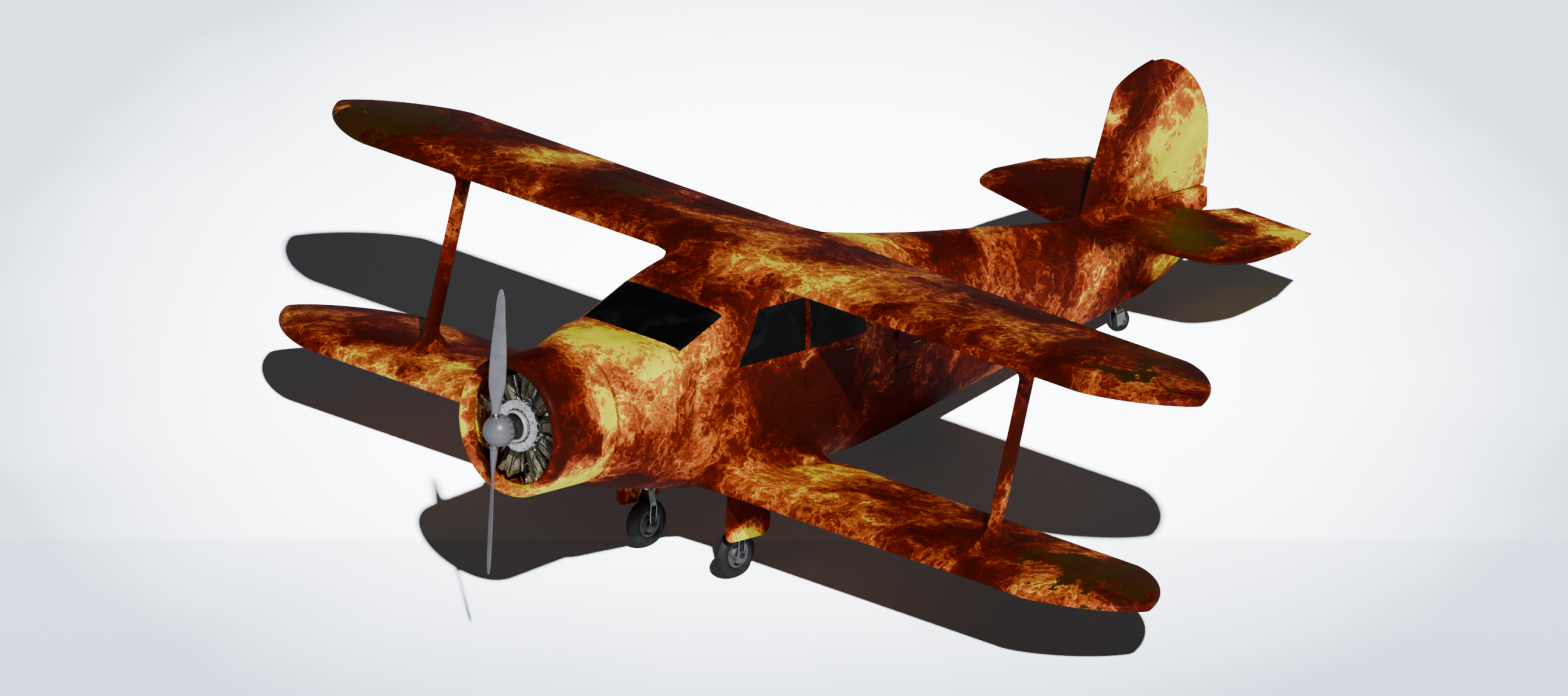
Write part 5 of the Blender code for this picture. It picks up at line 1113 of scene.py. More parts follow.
def rudder_surface():
    """Sections of the rudder: a round nose on the hinge and an even taper to a rounded rear outline."""
    straight_top = 1.2
    top = mix(straight_top, RUDDER_TOP, np.sin(math.pi / 2 * np.linspace(0.06, 1, 18)))
    z = np.concatenate([np.linspace(FAIRING_TOP + 0.015, straight_top, 12), top])[:, None]
    nose = RUDDER_NOSE * np.sqrt(np.maximum(1 - np.maximum(0, (z - RUDDER_TOP + 0.10) / 0.11) ** 2, 0.1))
    share = np.clip((z - RUDDER_FULLEST_Z) / (RUDDER_TOP + 0.01 - RUDDER_FULLEST_Z), 0, None)
    undercut = 0.03 * np.clip((RUDDER_FULLEST_Z - z) / 0.4, 0, None) ** 2
    rear = RUDDER_HINGE_Y + RUDDER_CHORD * (1 - share**2.2) ** 0.62 - undercut
    angle = np.radians(np.linspace(0, -180, 17))[None]
    c = np.linspace(1, 0, 9)[None, :-1]
    taper = mix(nose, TAIL_EDGE / 2, c)
    x = np.concatenate([taper, nose * np.cos(angle), -taper[:, ::-1]], 1)
    y = np.concatenate([mix(RUDDER_HINGE_Y, rear, c), RUDDER_HINGE_Y + nose * np.sin(angle),
                        mix(RUDDER_HINGE_Y, rear, c[:, ::-1])], 1)
    return joined(x, y, z)


def stabiliser_surface():
    """Sections of a tailplane half: a swept front edge rounded into the tip."""
    start = TAIL_SEMI_SPAN - TAIL_TIP_LENGTH
    tip = mix(start, TAIL_SEMI_SPAN, np.sin(math.pi / 2 * np.linspace(0.06, 0.87, 14)))
    x = np.concatenate([np.linspace(TAIL_ROOT_X + SEAT_GAP, start, 10), tip])[:, None]
    along = (x - TAIL_ROOT_X) / (TAIL_SEMI_SPAN - TAIL_ROOT_X)
    rounding = np.clip((along - 0.78) / 0.22, 0, 1)
    front = TAIL_ROOT_FRONT_Y + TAIL_SWEEP * along + 0.32 * (1 - np.sqrt(1 - rounding**2))
    beyond = np.clip((x - ELEVATOR_OUTER_X) / (TAIL_SEMI_SPAN - ELEVATOR_OUTER_X), 0, None)
    rear = ELEVATOR_HINGE_Y - 0.40 * beyond
    size = np.sqrt(1 - 0.72 * np.clip((x - start) / TAIL_TIP_LENGTH, 0, 1) ** 2)
    c = (np.arange(25) / 24)[None] ** 1.6
    half = tail_half(c, TAIL_HALF * size, ELEVATOR_NOSE * np.minimum(size * 1.2, 1.0))
    c = np.concatenate([c, c[:, :0:-1]], 1)
    z = TAIL_HEIGHT + both_skins(half)
    return joined(x, mix(front, rear, c), z)


def elevator_surface():
    """Sections of an elevator, cut away at both ends."""
    x = np.array([ELEVATOR_INNER_X, ELEVATOR_INNER_X + ELEVATOR_CUT, ELEVATOR_OUTER_X - ELEVATOR_CUT,
                  ELEVATOR_OUTER_X])[:, None]
    rear = ELEVATOR_HINGE_Y + np.array([0.03, ELEVATOR_CHORD, ELEVATOR_CHORD, 0.03])[:, None]
    angle = np.radians(np.linspace(90, 270, 17))[None] + 0 * x
    c = np.linspace(1, 0, 9)[None, :-1]
    taper = mix(ELEVATOR_NOSE, TAIL_EDGE / 2, c) + 0 * x
    y = np.concatenate([mix(ELEVATOR_HINGE_Y, rear, c), ELEVATOR_HINGE_Y + ELEVATOR_NOSE * np.cos(angle),
                        mix(ELEVATOR_HINGE_Y, rear, c[:, ::-1])], 1)
    z = np.concatenate([taper, ELEVATOR_NOSE * np.sin(angle), -taper[:, ::-1]], 1)
    return joined(x, y, TAIL_HEIGHT + z)


def make_tail():
    """Fin, rudder, tailplane halves and elevators on their lugs."""
    paint = "flame paint"
    radius = RUDDER_NOSE + MOVING_GAP
    side, behind = radius * 3, RUDDER_HINGE_Y + 0.2
    ring = np.vstack([arc((0, RUDDER_HINGE_Y), radius, 180, 360, 24),
                      [(side, RUDDER_HINGE_Y), (side, behind), (-side, behind), (-side, RUDDER_HINGE_Y)]])
    fin = build("fin_skin", [grid(fin_surface())], paint, "airframe", ("fin",))
    carve(fin, *taken(slab(ring, "z", FAIRING_TOP - 0.1, FIN_TOP + 0.1)))
    build("rudder_skin", [grid(rudder_surface())], paint, "rudder", ("rudder",), bevel=0.0015)
    radius = ELEVATOR_NOSE + MOVING_GAP
    bay = slab(cove(ELEVATOR_HINGE_Y, TAIL_HEIGHT, radius, 0.3), "x",
               TAIL_ROOT_X - 0.01, TAIL_SEMI_SPAN + 0.02)
    half, elevator = grid(stabiliser_surface()), grid(elevator_surface())
    lug = block((TAIL_ROOT_X + 0.003, ELEVATOR_HINGE_Y - 2 * radius, TAIL_HEIGHT - 0.011),
                (ELEVATOR_INNER_X - SEAT_GAP, ELEVATOR_HINGE_Y + 0.011, TAIL_HEIGHT + 0.011))
    for side, sign in SIDES.items():
        name, body = f"stabiliser_{side}", f"elevator_{side}"
        on_side = (lambda part: part) if sign > 0 else mirrored
        made = build(name + "_skin", [on_side(half)], paint, "airframe", (name,))
        carve(made, *taken(on_side(bay)))
        build(f"elevator_lug_{side}", [lug], paint, mirror=sign < 0, bevel=0.002)
        build(body + "_skin", [elevator], paint, body, (body,), mirror=sign < 0, bevel=0.0015)


# ---- nose

def make_cowl():
    """The engine cowl: a rolled lip, an even barrel and a thin rear edge, turned about the thrust line."""
    lip = (COWL_RADIUS - COWL_MOUTH) / 2
    depth = lip * LIP_DEPTH_RATIO
    centre_r, centre_y = COWL_MOUTH + lip, COWL_FRONT_Y + depth
    a = np.radians(np.linspace(90, 0, 14))
    outer = np.column_stack([centre_r + lip * 0.98 * np.cos(a), centre_y - depth * np.sin(a)])
    inner_radius = COWL_RADIUS - COWL_WALL
    barrel = [(COWL_RADIUS, COWL_FRONT_Y + 0.26), (COWL_RADIUS, COWL_REAR_Y - 0.002),
              (COWL_RADIUS - 0.003, COWL_REAR_Y), (COWL_RADIUS - 0.010, COWL_REAR_Y),
              (inner_radius, COWL_REAR_Y - 0.03), (inner_radius, COWL_FRONT_Y + 0.20),
              (COWL_MOUTH + 0.01, COWL_FRONT_Y + 0.12)]
    a = np.radians(np.linspace(0, 90, 14))[:-1]
    inner = np.column_stack([centre_r - lip * np.cos(a), centre_y - depth * np.sin(a)])
    shell = turned(np.vstack([outer, barrel, inner]), "y", 144, wrap=True)
    skin = build("cowl_skin", [shell], "flame paint", "airframe", ("cowl",))


# ---- engine and propeller

def box_loft(low, high, inset, rows=5):
    """A block whose long edges are rounded and whose ends draw in by inset."""
    (x0, y0, z0), (x1, y1, z1) = low, high
    angle = (np.arange(24) + 0.5) * math.tau / 24
    cosine, sine = np.cos(angle), np.sin(angle)
    ring_x = np.sign(cosine) * np.abs(cosine) ** 0.35
    ring_y = np.sign(sine) * np.abs(sine) ** 0.35
    t = np.linspace(0, 1, rows)[:, None]
    size = 1 - inset * np.abs(2 * t - 1) ** 6
    x = (x0 + x1) / 2 + (x1 - x0) / 2 * ring_x * size
    y = (y0 + y1) / 2 + (y1 - y0) / 2 * ring_y * size
    return grid(joined(x, y, mix(z0, z1, t)))


def around_engine(part, offset=0.0):
    """Nine copies of a part about the thrust line."""
    return repeat(part, about("y", (np.arange(CYLINDERS) + offset) * math.tau / CYLINDERS))


def ring_of(name, parts, finish_name, offset=0.0, **more):
    """A piece of the airframe that repeats its parts at each cylinder, or between them by an offset."""
    build(name, [around_engine(part, offset) for part in parts], finish_name, **more)


def make_cylinders(fins):
    """The finned barrels with their collars, the finned heads and the rocker boxes on them."""
    pitch = (FINS_HIGH - FINS_LOW) / fins
    profile = [(AXIS_RADIUS, 0.165), (0.053, 0.165), (0.055, 0.185), (0.0535, 0.215)]
    for i in range(fins):
        low = FINS_LOW + i * pitch
        reach = 0.076 - 0.006 * abs(i / fins - 0.6)
        profile += [(FIN_ROOT, low), (reach, low + 0.18 * pitch), (reach, low + 0.42 * pitch),
                    (FIN_ROOT, low + 0.62 * pitch)]
    profile += [(FIN_ROOT, 0.396), (0.050, 0.402), (AXIS_RADIUS, 0.404)]
    foot = (0, CYLINDER_Y, 0)
    ring_of("cylinder_barrels", [turned(profile, "z", 28, foot)], "pale bronze", stands_for=("engine",))
    collars = [[(0.0560, 0.188), (0.0585, 0.190), (0.0585, 0.216), (0.0560, 0.218)],
               [(0.0570, 0.166), (0.0610, 0.167), (0.0610, 0.176), (0.0570, 0.177)]]
    ring_of("cylinder_collars", [turned(v, "z", 28, foot, True) for v in collars], "bright steel")
    y, heads = CYLINDER_Y, []
    for i in range(HEAD_PLATES):
        z, half = HEAD_LOW + i * HEAD_PITCH, 0.078 - 0.002 * i
        heads.append(box_loft((-half, y - 0.094 + 0.002 * i, z), (half, y + 0.064, z + 0.0030), 0.02, 2))
    heads.append(box_loft((-0.060, y - 0.075, 0.392), (0.060, y + 0.050, 0.462), 0.02, 4))
    ring_of("cylinder_heads", heads, "olive bronze")
    covers = []
    for x in (-ROCKER_X, ROCKER_X):
        covers.append(box_loft((x - 0.021, y - 0.098, 0.412), (x + 0.021, y - 0.052, 0.474), 0.25, 9))
        covers.append(box_loft((x - 0.0235, y - 0.1005, 0.438), (x + 0.0235, y - 0.0495, 0.443), 0.05, 3))
    ring_of("rocker_boxes", covers, "olive bronze")


def make_rods_and_pipes():
    """Push rods in their cups, inlet pipes, baffle bars between the cylinders, and spark leads."""
    y, rods, cups, pipes, leads = CYLINDER_Y, [], [], [], []
    for x in (-ROCKER_X, ROCKER_X):
        foot, head = np.array((x * 0.62, 0.372, 0.186)), np.array((x * 1.35, y - 0.100, 0.468))

        def between(shares):
            return foot + (head - foot) * np.asarray(shares)[:, None]

        rods.append(tube(between(np.linspace(0, 1, 4)), 0.0058, 10))
        cups.append(tube(between([0.0, 0.03, 0.09, 0.11]), [0.011, 0.011, 0.0095, 0.006], 12))
        cups.append(tube(between([0.88, 0.91, 0.97, 1.0]), [0.006, 0.009, 0.010, 0.010], 12))
    ring_of("push_rods", rods, "black enamel")
    ring_of("push_rod_cups", cups, "bright steel")
    t = np.linspace(0, 1, 12)[:, None]
    for x, lean in ((-0.052, -0.5), (0.052, 0.5)):
        bow = x + lean * 0.05 * np.sin(math.pi * t)
        pipes.append(tube(np.concatenate([bow, y + 0.05 + 0.10 * t**2, mix(0.405, 0.27, t)], 1), 0.0125, 14))
    ring_of("inlet_pipes", pipes, "polished chrome")
    bar = box_loft((-0.013, y - 0.055, 0.235), (0.013, y - 0.030, 0.400), 0.12, 7)
    ring_of("baffle_bars", [bar], "polished chrome", 0.5)
    t = np.linspace(0, 1, 14)[:, None]
    for sign in (-1, 1):
        bow = y - 0.02 - 0.075 * np.sin(math.pi * t**0.8)
        path = np.concatenate([sign * mix(0.088, 0.030, t), bow, mix(0.20, 0.425, t)], 1)
        leads.append(tube(path, 0.0035, 8))
    ring_of("spark_leads", leads, "black enamel")


def crankcase_plate():
    """The crankcase's front: round inside, with a notched rim, two notches to each cylinder."""
    turn = np.arange(12 * CYLINDERS) * math.tau / (12 * CYLINDERS)
    notch = (0.5 + 0.5 * np.cos(2 * CYLINDERS * turn)) ** 6
    rim = CRANKCASE_RADIUS - 0.004 - 0.008 * notch
    ripple = 0.0012 * np.abs(np.sin(CYLINDERS * turn / 2))
    radii = [0.120 + 0 * turn, 0.128 + 0 * turn, 0.150 + 0 * turn, 0.195 + 0 * turn,
             rim, rim, rim, rim * 0.99, rim * 0.60]
    depths = [0.004 + ripple, 0.012 + ripple, 0.010 + ripple, 0.004 + ripple,
              0.0, 0.004, 0.026, 0.030, 0.034 + ripple]
    rows = [np.stack([radius * np.sin(turn), CRANKCASE_FRONT_Y + depth + 0 * turn, radius * np.cos(turn)], -1)
            for radius, depth in zip(radii, depths)]
    return grid(np.stack(rows))


def make_crankcase():
    """The crankcase: its plate with ribs and studs, the core behind, and the nose ring with its hoop."""
    front = CRANKCASE_FRONT_Y
    build("crankcase_plate", [crankcase_plate()], "white metal", crease=40)
    ribs = [tube([(r * math.sin(side), front + 0.0025, r * math.cos(side)) for r in (0.135, 0.17, 0.205)],
                 0.0025, 6) for side in (-0.16, 0.16)]
    stud = turned([(0.0003, front - 0.006), (0.0050, front - 0.006), (0.0065, front - 0.004),
                   (0.0065, front + 0.001), (0.0095, front + 0.001), (0.0095, front + 0.004),
                   (0.0003, front + 0.004)], "y", 12)
    angles = [share * math.tau / CYLINDERS for share in (0.30, 0.70)]
    studs = [moved(stud, (STUD_CIRCLE * math.sin(a), 0, STUD_CIRCLE * math.cos(a))) for a in angles]
    ring_of("crankcase_ribs", ribs, "white metal", 0.5)
    ring_of("crankcase_studs", studs, "bright steel")
    core = turned([(AXIS_RADIUS, 0.30), (0.05, 0.30), (0.095, front - 0.002), (0.172, front + 0.02),
                   (0.178, 0.60), (0.178, 0.62), (0.278, 0.63), (0.278, 0.926), (AXIS_RADIUS, 0.926)],
                  "y", 72)
    build("crankcase_core", [core], "dark steel")
    ring = turned([(0.118, front + 0.010), (0.108, front - 0.020), (0.112, front - 0.032),
                   (0.122, front - 0.034), (0.127, front - 0.026), (0.130, front + 0.010)], "y", 96,
                  wrap=True)
    build("nose_ring", [ring], "white metal", crease=60)
    hoop = turned([(0.1315 + 0.0035 * math.cos(a), front - 0.004 + 0.0035 * math.sin(a))
                   for a in np.linspace(0, math.tau, 9)[:-1]], "y", 96, wrap=True)
    build("copper_hoop", [hoop], "copper")


def make_engine(shape):
    """The radial engine, the posts that carry its cowl, and the shield before the firewall."""
    make_cylinders(shape.cylinder_fins)
    make_rods_and_pipes()
    make_crankcase()
    lobes = np.arange(60) * math.tau / 60
    radius = 0.062 + 0.020 * (0.5 + 0.5 * np.cos(5 * lobes)) ** 0.7
    flange = [np.stack([s * radius * np.sin(lobes), v + 0 * lobes, s * radius * np.cos(lobes)], -1)
              for s, v in ((0.92, 0.250), (1.0, 0.254), (1.0, 0.270), (0.92, 0.276))]
    shaft = [(AXIS_RADIUS, 0.2125), (0.050, 0.2125)]
    for i in range(6):
        v = 0.214 + 0.006 * i
        shaft += [(0.050, v), (0.054, v + 0.0015), (0.054, v + 0.0035), (0.050, v + 0.005)]
    shaft += [(0.052, 0.30), (AXIS_RADIUS, 0.31)]
    build("shaft_flange", [grid(np.stack(flange)), turned(shaft, "y", 48)], "dark steel")
    top = COWL_RADIUS - COWL_WALL - 0.0015
    post = box_loft((-0.013, CYLINDER_Y - 0.015, 0.455), (0.013, CYLINDER_Y + 0.015, top), 0.1, 5)
    ring_of("cowl_posts", [post], "dark steel")
    shield = turned([(0.280, 0.905), (0.553, 0.905), (0.553, 0.915), (0.280, 0.915)], "y", 96, wrap=True)
    build("firewall_shield", [shield], "firewall red")


def blade_surface():
    """The upper blade: round at its shank, then thin and twisted, widest half way and rounded at the tip."""
    tip = 0.8 + 0.2 * np.sin(math.pi / 2 * np.linspace(0.1, 1, 12))
    share = np.concatenate([np.linspace(0, 0.3, 14), np.linspace(0.33, 0.8, 16), tip])[:, None]
    radius = mix(DOME_RADIUS * 0.62, BLADE_LENGTH, share)
    flat = smooth(share, 0.04, 0.30)
    width = BLADE_WIDTH * (0.62 + 0.38 * np.sin(math.pi * np.minimum(share * 1.25, 1.0) ** 0.9))
    width = width * np.sqrt(np.maximum(1 - np.maximum(0, (share - 0.80) / 0.205) ** 2, 0.02))
    a = mix(BLADE_ROOT, width / 2, flat)
    b = mix(BLADE_ROOT, BLADE_THICKNESS / 2 * mix(1.0, 0.35, share), flat)
    twist = np.radians(mix(62, 18, share**0.7))
    angle = (np.arange(40) * math.tau / 40)[None]
    a, b = a * np.cos(angle), b * np.sin(angle)
    x, y = a * np.cos(twist) - b * np.sin(twist), a * np.sin(twist) + b * np.cos(twist)
    return joined(x, BLADE_Y + y, radius)


def make_propeller():
    """The domed hub with its slotted band, and two twisted blades that turn with it."""
    angle = np.linspace(0.02, math.pi / 2, 24)
    dome = [(DOME_RADIUS * math.sin(a), DOME_RADIUS * (1 - math.cos(a))) for a in angle]
    profile = [(AXIS_RADIUS, 0.0), *dome, (DOME_RADIUS, 0.136), (DOME_RADIUS - 0.003, 0.138),
               (DOME_RADIUS - 0.003, BAND_REAR_Y), (0.035, BAND_REAR_Y), (0.035, HUB_REAR_Y),
               (AXIS_RADIUS, HUB_REAR_Y)]
    grey = "propeller grey"
    build("propeller_dome", [turned(profile, "y", 96)], grey, "propeller", ("prop_hub",))
    slots = []
    for row in range(3):
        v = 0.144 + row * 0.011
        slot = block((-0.008, v, DOME_RADIUS - 0.006), (0.008, v + 0.0055, DOME_RADIUS - 0.0015))
        slots.append(repeat(slot, about("y", np.arange(16) * math.tau / 16)))
    build("propeller_band_slots", slots, "dark steel", "propeller", bevel=0.0006)
    ferrule = turned([(0.034, 0.118), (0.041, 0.120), (0.041, 0.138), (0.034, 0.150)], "z", 40,
                     (0, BLADE_Y, 0), True)
    blade = grid(blade_surface())
    for name, part in (("blade_upper", blade), ("blade_lower", repeat(blade, about("y", [math.pi])))):
        build(name + "_skin", [part], grey, "propeller", (name,), crease=50)
    build("blade_ferrules", [repeat(ferrule, about("y", [0, math.pi]))], "bright steel", "propeller")


# ---- landing gear

def bent_plate(path, width, thickness, y):
    """A flat bar along a path of (x, z) points: its rings are long rounded rectangles."""
    path = np.asarray(path, dtype=float)
    ahead = np.gradient(path, axis=0)
    ahead /= np.linalg.norm(ahead, axis=1, keepdims=True)
    across = np.column_stack([-ahead[:, 1], ahead[:, 0]])
    corner = thickness * 0.3
    ring = np.array([(-1, -1), (1, -1), (1, 1), (-1, 1)])
    outline = []
    for sx, sy in ring:
        for dx, dy in (((1, 0), (0, 1)) if sx * sy > 0 else ((0, 1), (1, 0))):
            outline.append((sx * (thickness / 2 - corner * dx), sy * (width / 2 - corner * dy)))
    outline = np.array(outline)
    middle = np.column_stack([path[:, 0], np.full(len(path), y), path[:, 1]])
    rings = middle[:, None] + across[:, None, [0]] * outline[None, :, :1] * np.array([1.0, 0, 0])
    rings = rings + across[:, None, [1]] * outline[None, :, :1] * np.array([0, 0, 1.0])
    rings = rings + outline[None, :, 1:] * np.array([0, 1.0, 0])
    return grid(rings)


def tyre_part(radius, rim, width, grooves, steps):
    """A tyre: an oval section from bead to bead, with even grooves round its crown."""
    a = np.radians(np.linspace(-125, 125, 121))
    depth = (radius - rim) / 2
    r, along = rim + depth + depth * np.cos(a), width / 2 * np.sin(a)
    r = radius - (radius - r) * (radius - rim) / (radius - r.min())
    if grooves:
        place_at = np.linspace(-0.62, 0.62, grooves) * width / 2
        near = np.abs(along[:, None] - place_at[None]).min(1)
        r = r - 0.0035 * smooth(near, 0.0022, 0.0008)
    return turned(np.column_stack([r, along]), "x", steps, wrap=True)


def wheel_disc(rim, width, bore, steps=72):
    """A dished wheel with a rolled edge and a hub barrel, the same on both sides."""
    half, edge, scale = width * 0.36, rim - 0.0006, rim / RIM_RADIUS
    dish = [(edge, -half), (edge, half), (edge - 0.004 * scale, half + 0.002), (edge - 0.02 * scale, half)]
    dish += [(0.78 * rim, 0.35 * half), (0.60 * rim, 0.22 * half), (0.46 * rim, 0.30 * half),
             (0.40 * rim, 0.8 * half), (0.36 * rim, 0.9 * half), (bore, 0.9 * half)]
    dish += [(r, -v) for r, v in reversed(dish[1:])][:-1]
    return turned(np.array(dish), "x", steps, wrap=True)


def bent_path(corners, radius):
    """A path through corners, each one inside rounded by a parabola that starts a radius before it."""
    corners = [np.array(corner) for corner in corners]
    path = [corners[0]]
    for before, corner, after in zip(corners, corners[1:], corners[2:]):
        a = corner + (before - corner) * radius / np.linalg.norm(before - corner)
        b = corner + (after - corner) * radius / np.linalg.norm(after - corner)
        path += [mix(mix(a, corner, t), mix(corner, b, t), t) for t in np.linspace(0, 1, 5)]
    return path + [corners[-1]]


def leg_parts():
    """One main leg: its fork, the fork's feet, the tube with its link, and the axle with its arm."""
    x0 = TRACK / 2
    reach = TYRE_WIDTH / 2 + 0.020
    bend = WHEEL_Z + WHEEL_RADIUS * 0.78
    corners = [(x0 - reach, WHEEL_Z - 0.03), (x0 - reach, bend), (x0 - 0.4 * reach, FORK_CROWN + 0.02),
               (x0 + 0.4 * reach, FORK_CROWN + 0.02), (x0 + reach, bend), (x0 + reach, WHEEL_Z - 0.03)]
    fork = bent_plate(bent_path(corners, FORK_BEND), 0.070, 0.010, WHEEL_Y)
    foot = np.array([(-0.052, -0.060), (0.010, -0.068), (0.030, -0.040), (0.030, 0.030), (-0.030, 0.030),
                     (-0.060, -0.030)]) + (WHEEL_Y, WHEEL_Z)
    feet = [slab(foot, "x", x0 + s * reach - 0.0058 * s, x0 + s * (reach + 0.0062)) for s in (1, -1)]
    top, slim = LEG_TOP - SEAT_GAP, LEG_RADIUS - 0.003
    leg = turned([(AXIS_RADIUS, top), (LEG_RADIUS, top), (LEG_RADIUS, LEG_TOP - 0.018),
                  (slim, LEG_TOP - 0.021), (slim, FORK_CROWN + 0.05), (LEG_RADIUS, FORK_CROWN + 0.045),
                  (LEG_RADIUS, FORK_CROWN), (LEG_RADIUS - 0.004, FORK_CROWN - 0.004),
                  (AXIS_RADIUS, FORK_CROWN - 0.004)], "z", 48, (x0, WHEEL_Y, 0))
    link = tube([(x0, WHEEL_Y + 0.075, -1.155), (x0, WHEEL_Y + 0.085, -1.03), (x0, WHEEL_Y + 0.035, -0.97)],
                0.008, 10)
    end = reach + 0.010
    axle = turned([(AXIS_RADIUS, -end - 0.010), (0.018, -end - 0.010), (0.0235, -end - 0.007),
                   (0.0235, end + 0.007), (0.018, end + 0.010), (AXIS_RADIUS, end + 0.010)], "x", 36,
                  (x0, WHEEL_Y, WHEEL_Z))
    arm = tube([(v, WHEEL_Y, -0.92) for v in (x0, x0 + 0.05, 0.6087)], 0.016, 20)
    return [fork], feet, [leg, link], [axle, arm]


def make_gear(shape):
    """Main legs with forks, wheels with grooved tyres, gear doors, and the tail wheel on its fork."""
    rubber_black, steel, grey = "tyre rubber", "bright steel", "wheel grey"
    fork, feet, leg_tube, axle = leg_parts()
    centre = (TRACK / 2, WHEEL_Y, WHEEL_Z)
    tyre = moved(tyre_part(WHEEL_RADIUS, RIM_RADIUS, TYRE_WIDTH, shape.tyre_grooves, 144), centre)
    hub = moved(wheel_disc(RIM_RADIUS, TYRE_WIDTH, AXLE_RADIUS + 0.0006), centre)
    nut = [(0.0003, 0.0), (0.0055, 0.0), (0.0055, 0.006), (0.0003, 0.007)]
    nuts = [moved(turned(nut, "x", 6, (0.0125, 0.060 * math.cos(a), 0.060 * math.sin(a))), centre)
            for a in np.arange(6) * math.tau / 6]
    door = gear_door()
    for side, sign in SIDES.items():
        leg, wheel, flip = f"gear_leg_{side}", f"wheel_{side}", sign < 0
        build(leg + "_fork", fork, steel, "airframe", (leg,), mirror=flip, bevel=0.001)
        build(leg + "_feet", feet, grey, mirror=flip, bevel=0.0015)
        build(leg + "_tube", leg_tube, steel, mirror=flip)
        build(leg + "_axle", axle, "dark steel", mirror=flip)
        build(f"tyre_{side}_grooved", [tyre], rubber_black, wheel, (f"tyre_{side}",), mirror=flip, crease=50)
        build(f"hub_{side}_dish", [hub], grey, wheel, (f"hub_{side}",), mirror=flip)
        build(f"hub_{side}_nuts", nuts, steel, wheel, mirror=flip)
        build(f"gear_door_{side}_skin", [door], "flame paint", "airframe", (f"gear_door_{side}",),
              mirror=flip, bevel=0.002)
    make_tail_wheel()


def gear_door():
    """A gear door: a plate with round lower corners whose top follows the wing above it."""
    front, rear, bottom, corner = 2.16, 2.66, -1.20, 0.09
    y = np.linspace(rear, front, 16)
    top = np.minimum(LOWER.height, wing_skin(LOWER, 0.0, np.maximum(y, LOWER.front), -1)) - 0.035
    outline = np.vstack([arc((front + corner, bottom + corner), corner, 180, 270, 16),
                         arc((rear - corner, bottom + corner), corner, 270, 360, 16),
                         np.column_stack([y, top])])
    return slab(outline, "x", 0.609, 0.621)


def make_tail_wheel():
    """The small tail wheel and its swivelling fork, about the foot of the swivel and square to the ground."""
    swivel = np.array(JOINTS["tail_swivel_turn"]["pos_m"]) - NOSE
    swivel = np.array([swivel @ LEFT, swivel @ AFT, swivel @ UP])
    stand = about("x", [math.atan2(-AFT[2], AFT[1])])[0]

    def set_down(part, trail=TAIL_TRAIL):
        points, quads, caps = part
        return (points + np.array((0.0, trail, 0.0))) @ stand.T + swivel, quads, caps

    tyre = tyre_part(TAIL_WHEEL_RADIUS, TAIL_RIM, TAIL_TYRE_WIDTH, 3, 72)
    build("tail_tyre_round", [set_down(tyre)], "tyre rubber", "tail_wheel", ("tail_tyre",), crease=50)
    hub = wheel_disc(TAIL_RIM, TAIL_TYRE_WIDTH, 0.0106, 48)
    build("tail_hub_dish", [set_down(hub)], "wheel grey", "tail_wheel", ("tail_hub",))
    reach, crown = TAIL_TYRE_WIDTH / 2 + 0.008, TAIL_WHEEL_RADIUS + 0.014
    path = [(-reach, -0.016), (-reach, crown - 0.03), (-reach * 0.92, crown - 0.012),
            (-reach * 0.55, crown + 0.006)]
    path += [(-x, z) for x, z in reversed(path)]
    fork = bent_plate(path, TAIL_TRAIL + 0.046, 0.006, (TAIL_TRAIL + 0.016 - 0.030) / 2)
    top = TAIL_WHEEL_RADIUS + 0.0445
    stem = turned([(0.0004, crown), (0.013, crown), (0.013, crown + 0.012), (0.0105, crown + 0.014),
                   (0.0105, top), (0.0004, top)], "z", 24)
    end = reach + 0.0115
    axle = turned([(0.0004, -end), (0.0075, -end), (0.0098, 0.0015 - end), (0.0098, end - 0.0015),
                   (0.0075, end), (0.0004, end)], "x", 24)
    build("tail_fork_plate", [set_down(fork, 0.0), set_down(stem, 0.0)], "bright steel",
          "tail_swivel", ("tail_fork",), bevel=0.0008)
    build("tail_axle_pin", [set_down(axle)], "dark steel", "tail_swivel")


# ---- cabin

def cushion(centre, half, lean=0.0, crown=0.3):
    """A stuffed pad: a superellipsoid whose power, crown, keeps its faces bulging and its edges round."""
    u = (np.arange(64) + 0.5)[None] * math.tau / 64
    v = np.linspace(-math.pi / 2 + 0.02, math.pi / 2 - 0.02, 25)[:, None]

    def raised(value, power):
        return np.sign(value) * np.abs(value) ** power

    around = raised(np.cos(v), crown)
    points = joined(half[0] * around * raised(np.cos(u), crown),
                    half[1] * around * raised(np.sin(u), crown),
                    half[2] * raised(np.sin(v), crown + 0.35))
    across = points[..., 0] / half[0]
    tuft = np.cos(across * 2.5 * math.pi) * (1 - across**2)
    points[..., 2] *= 1 - 0.05 * (1 - tuft)
    return grid(points @ about("x", [lean])[0].T + np.array(centre))


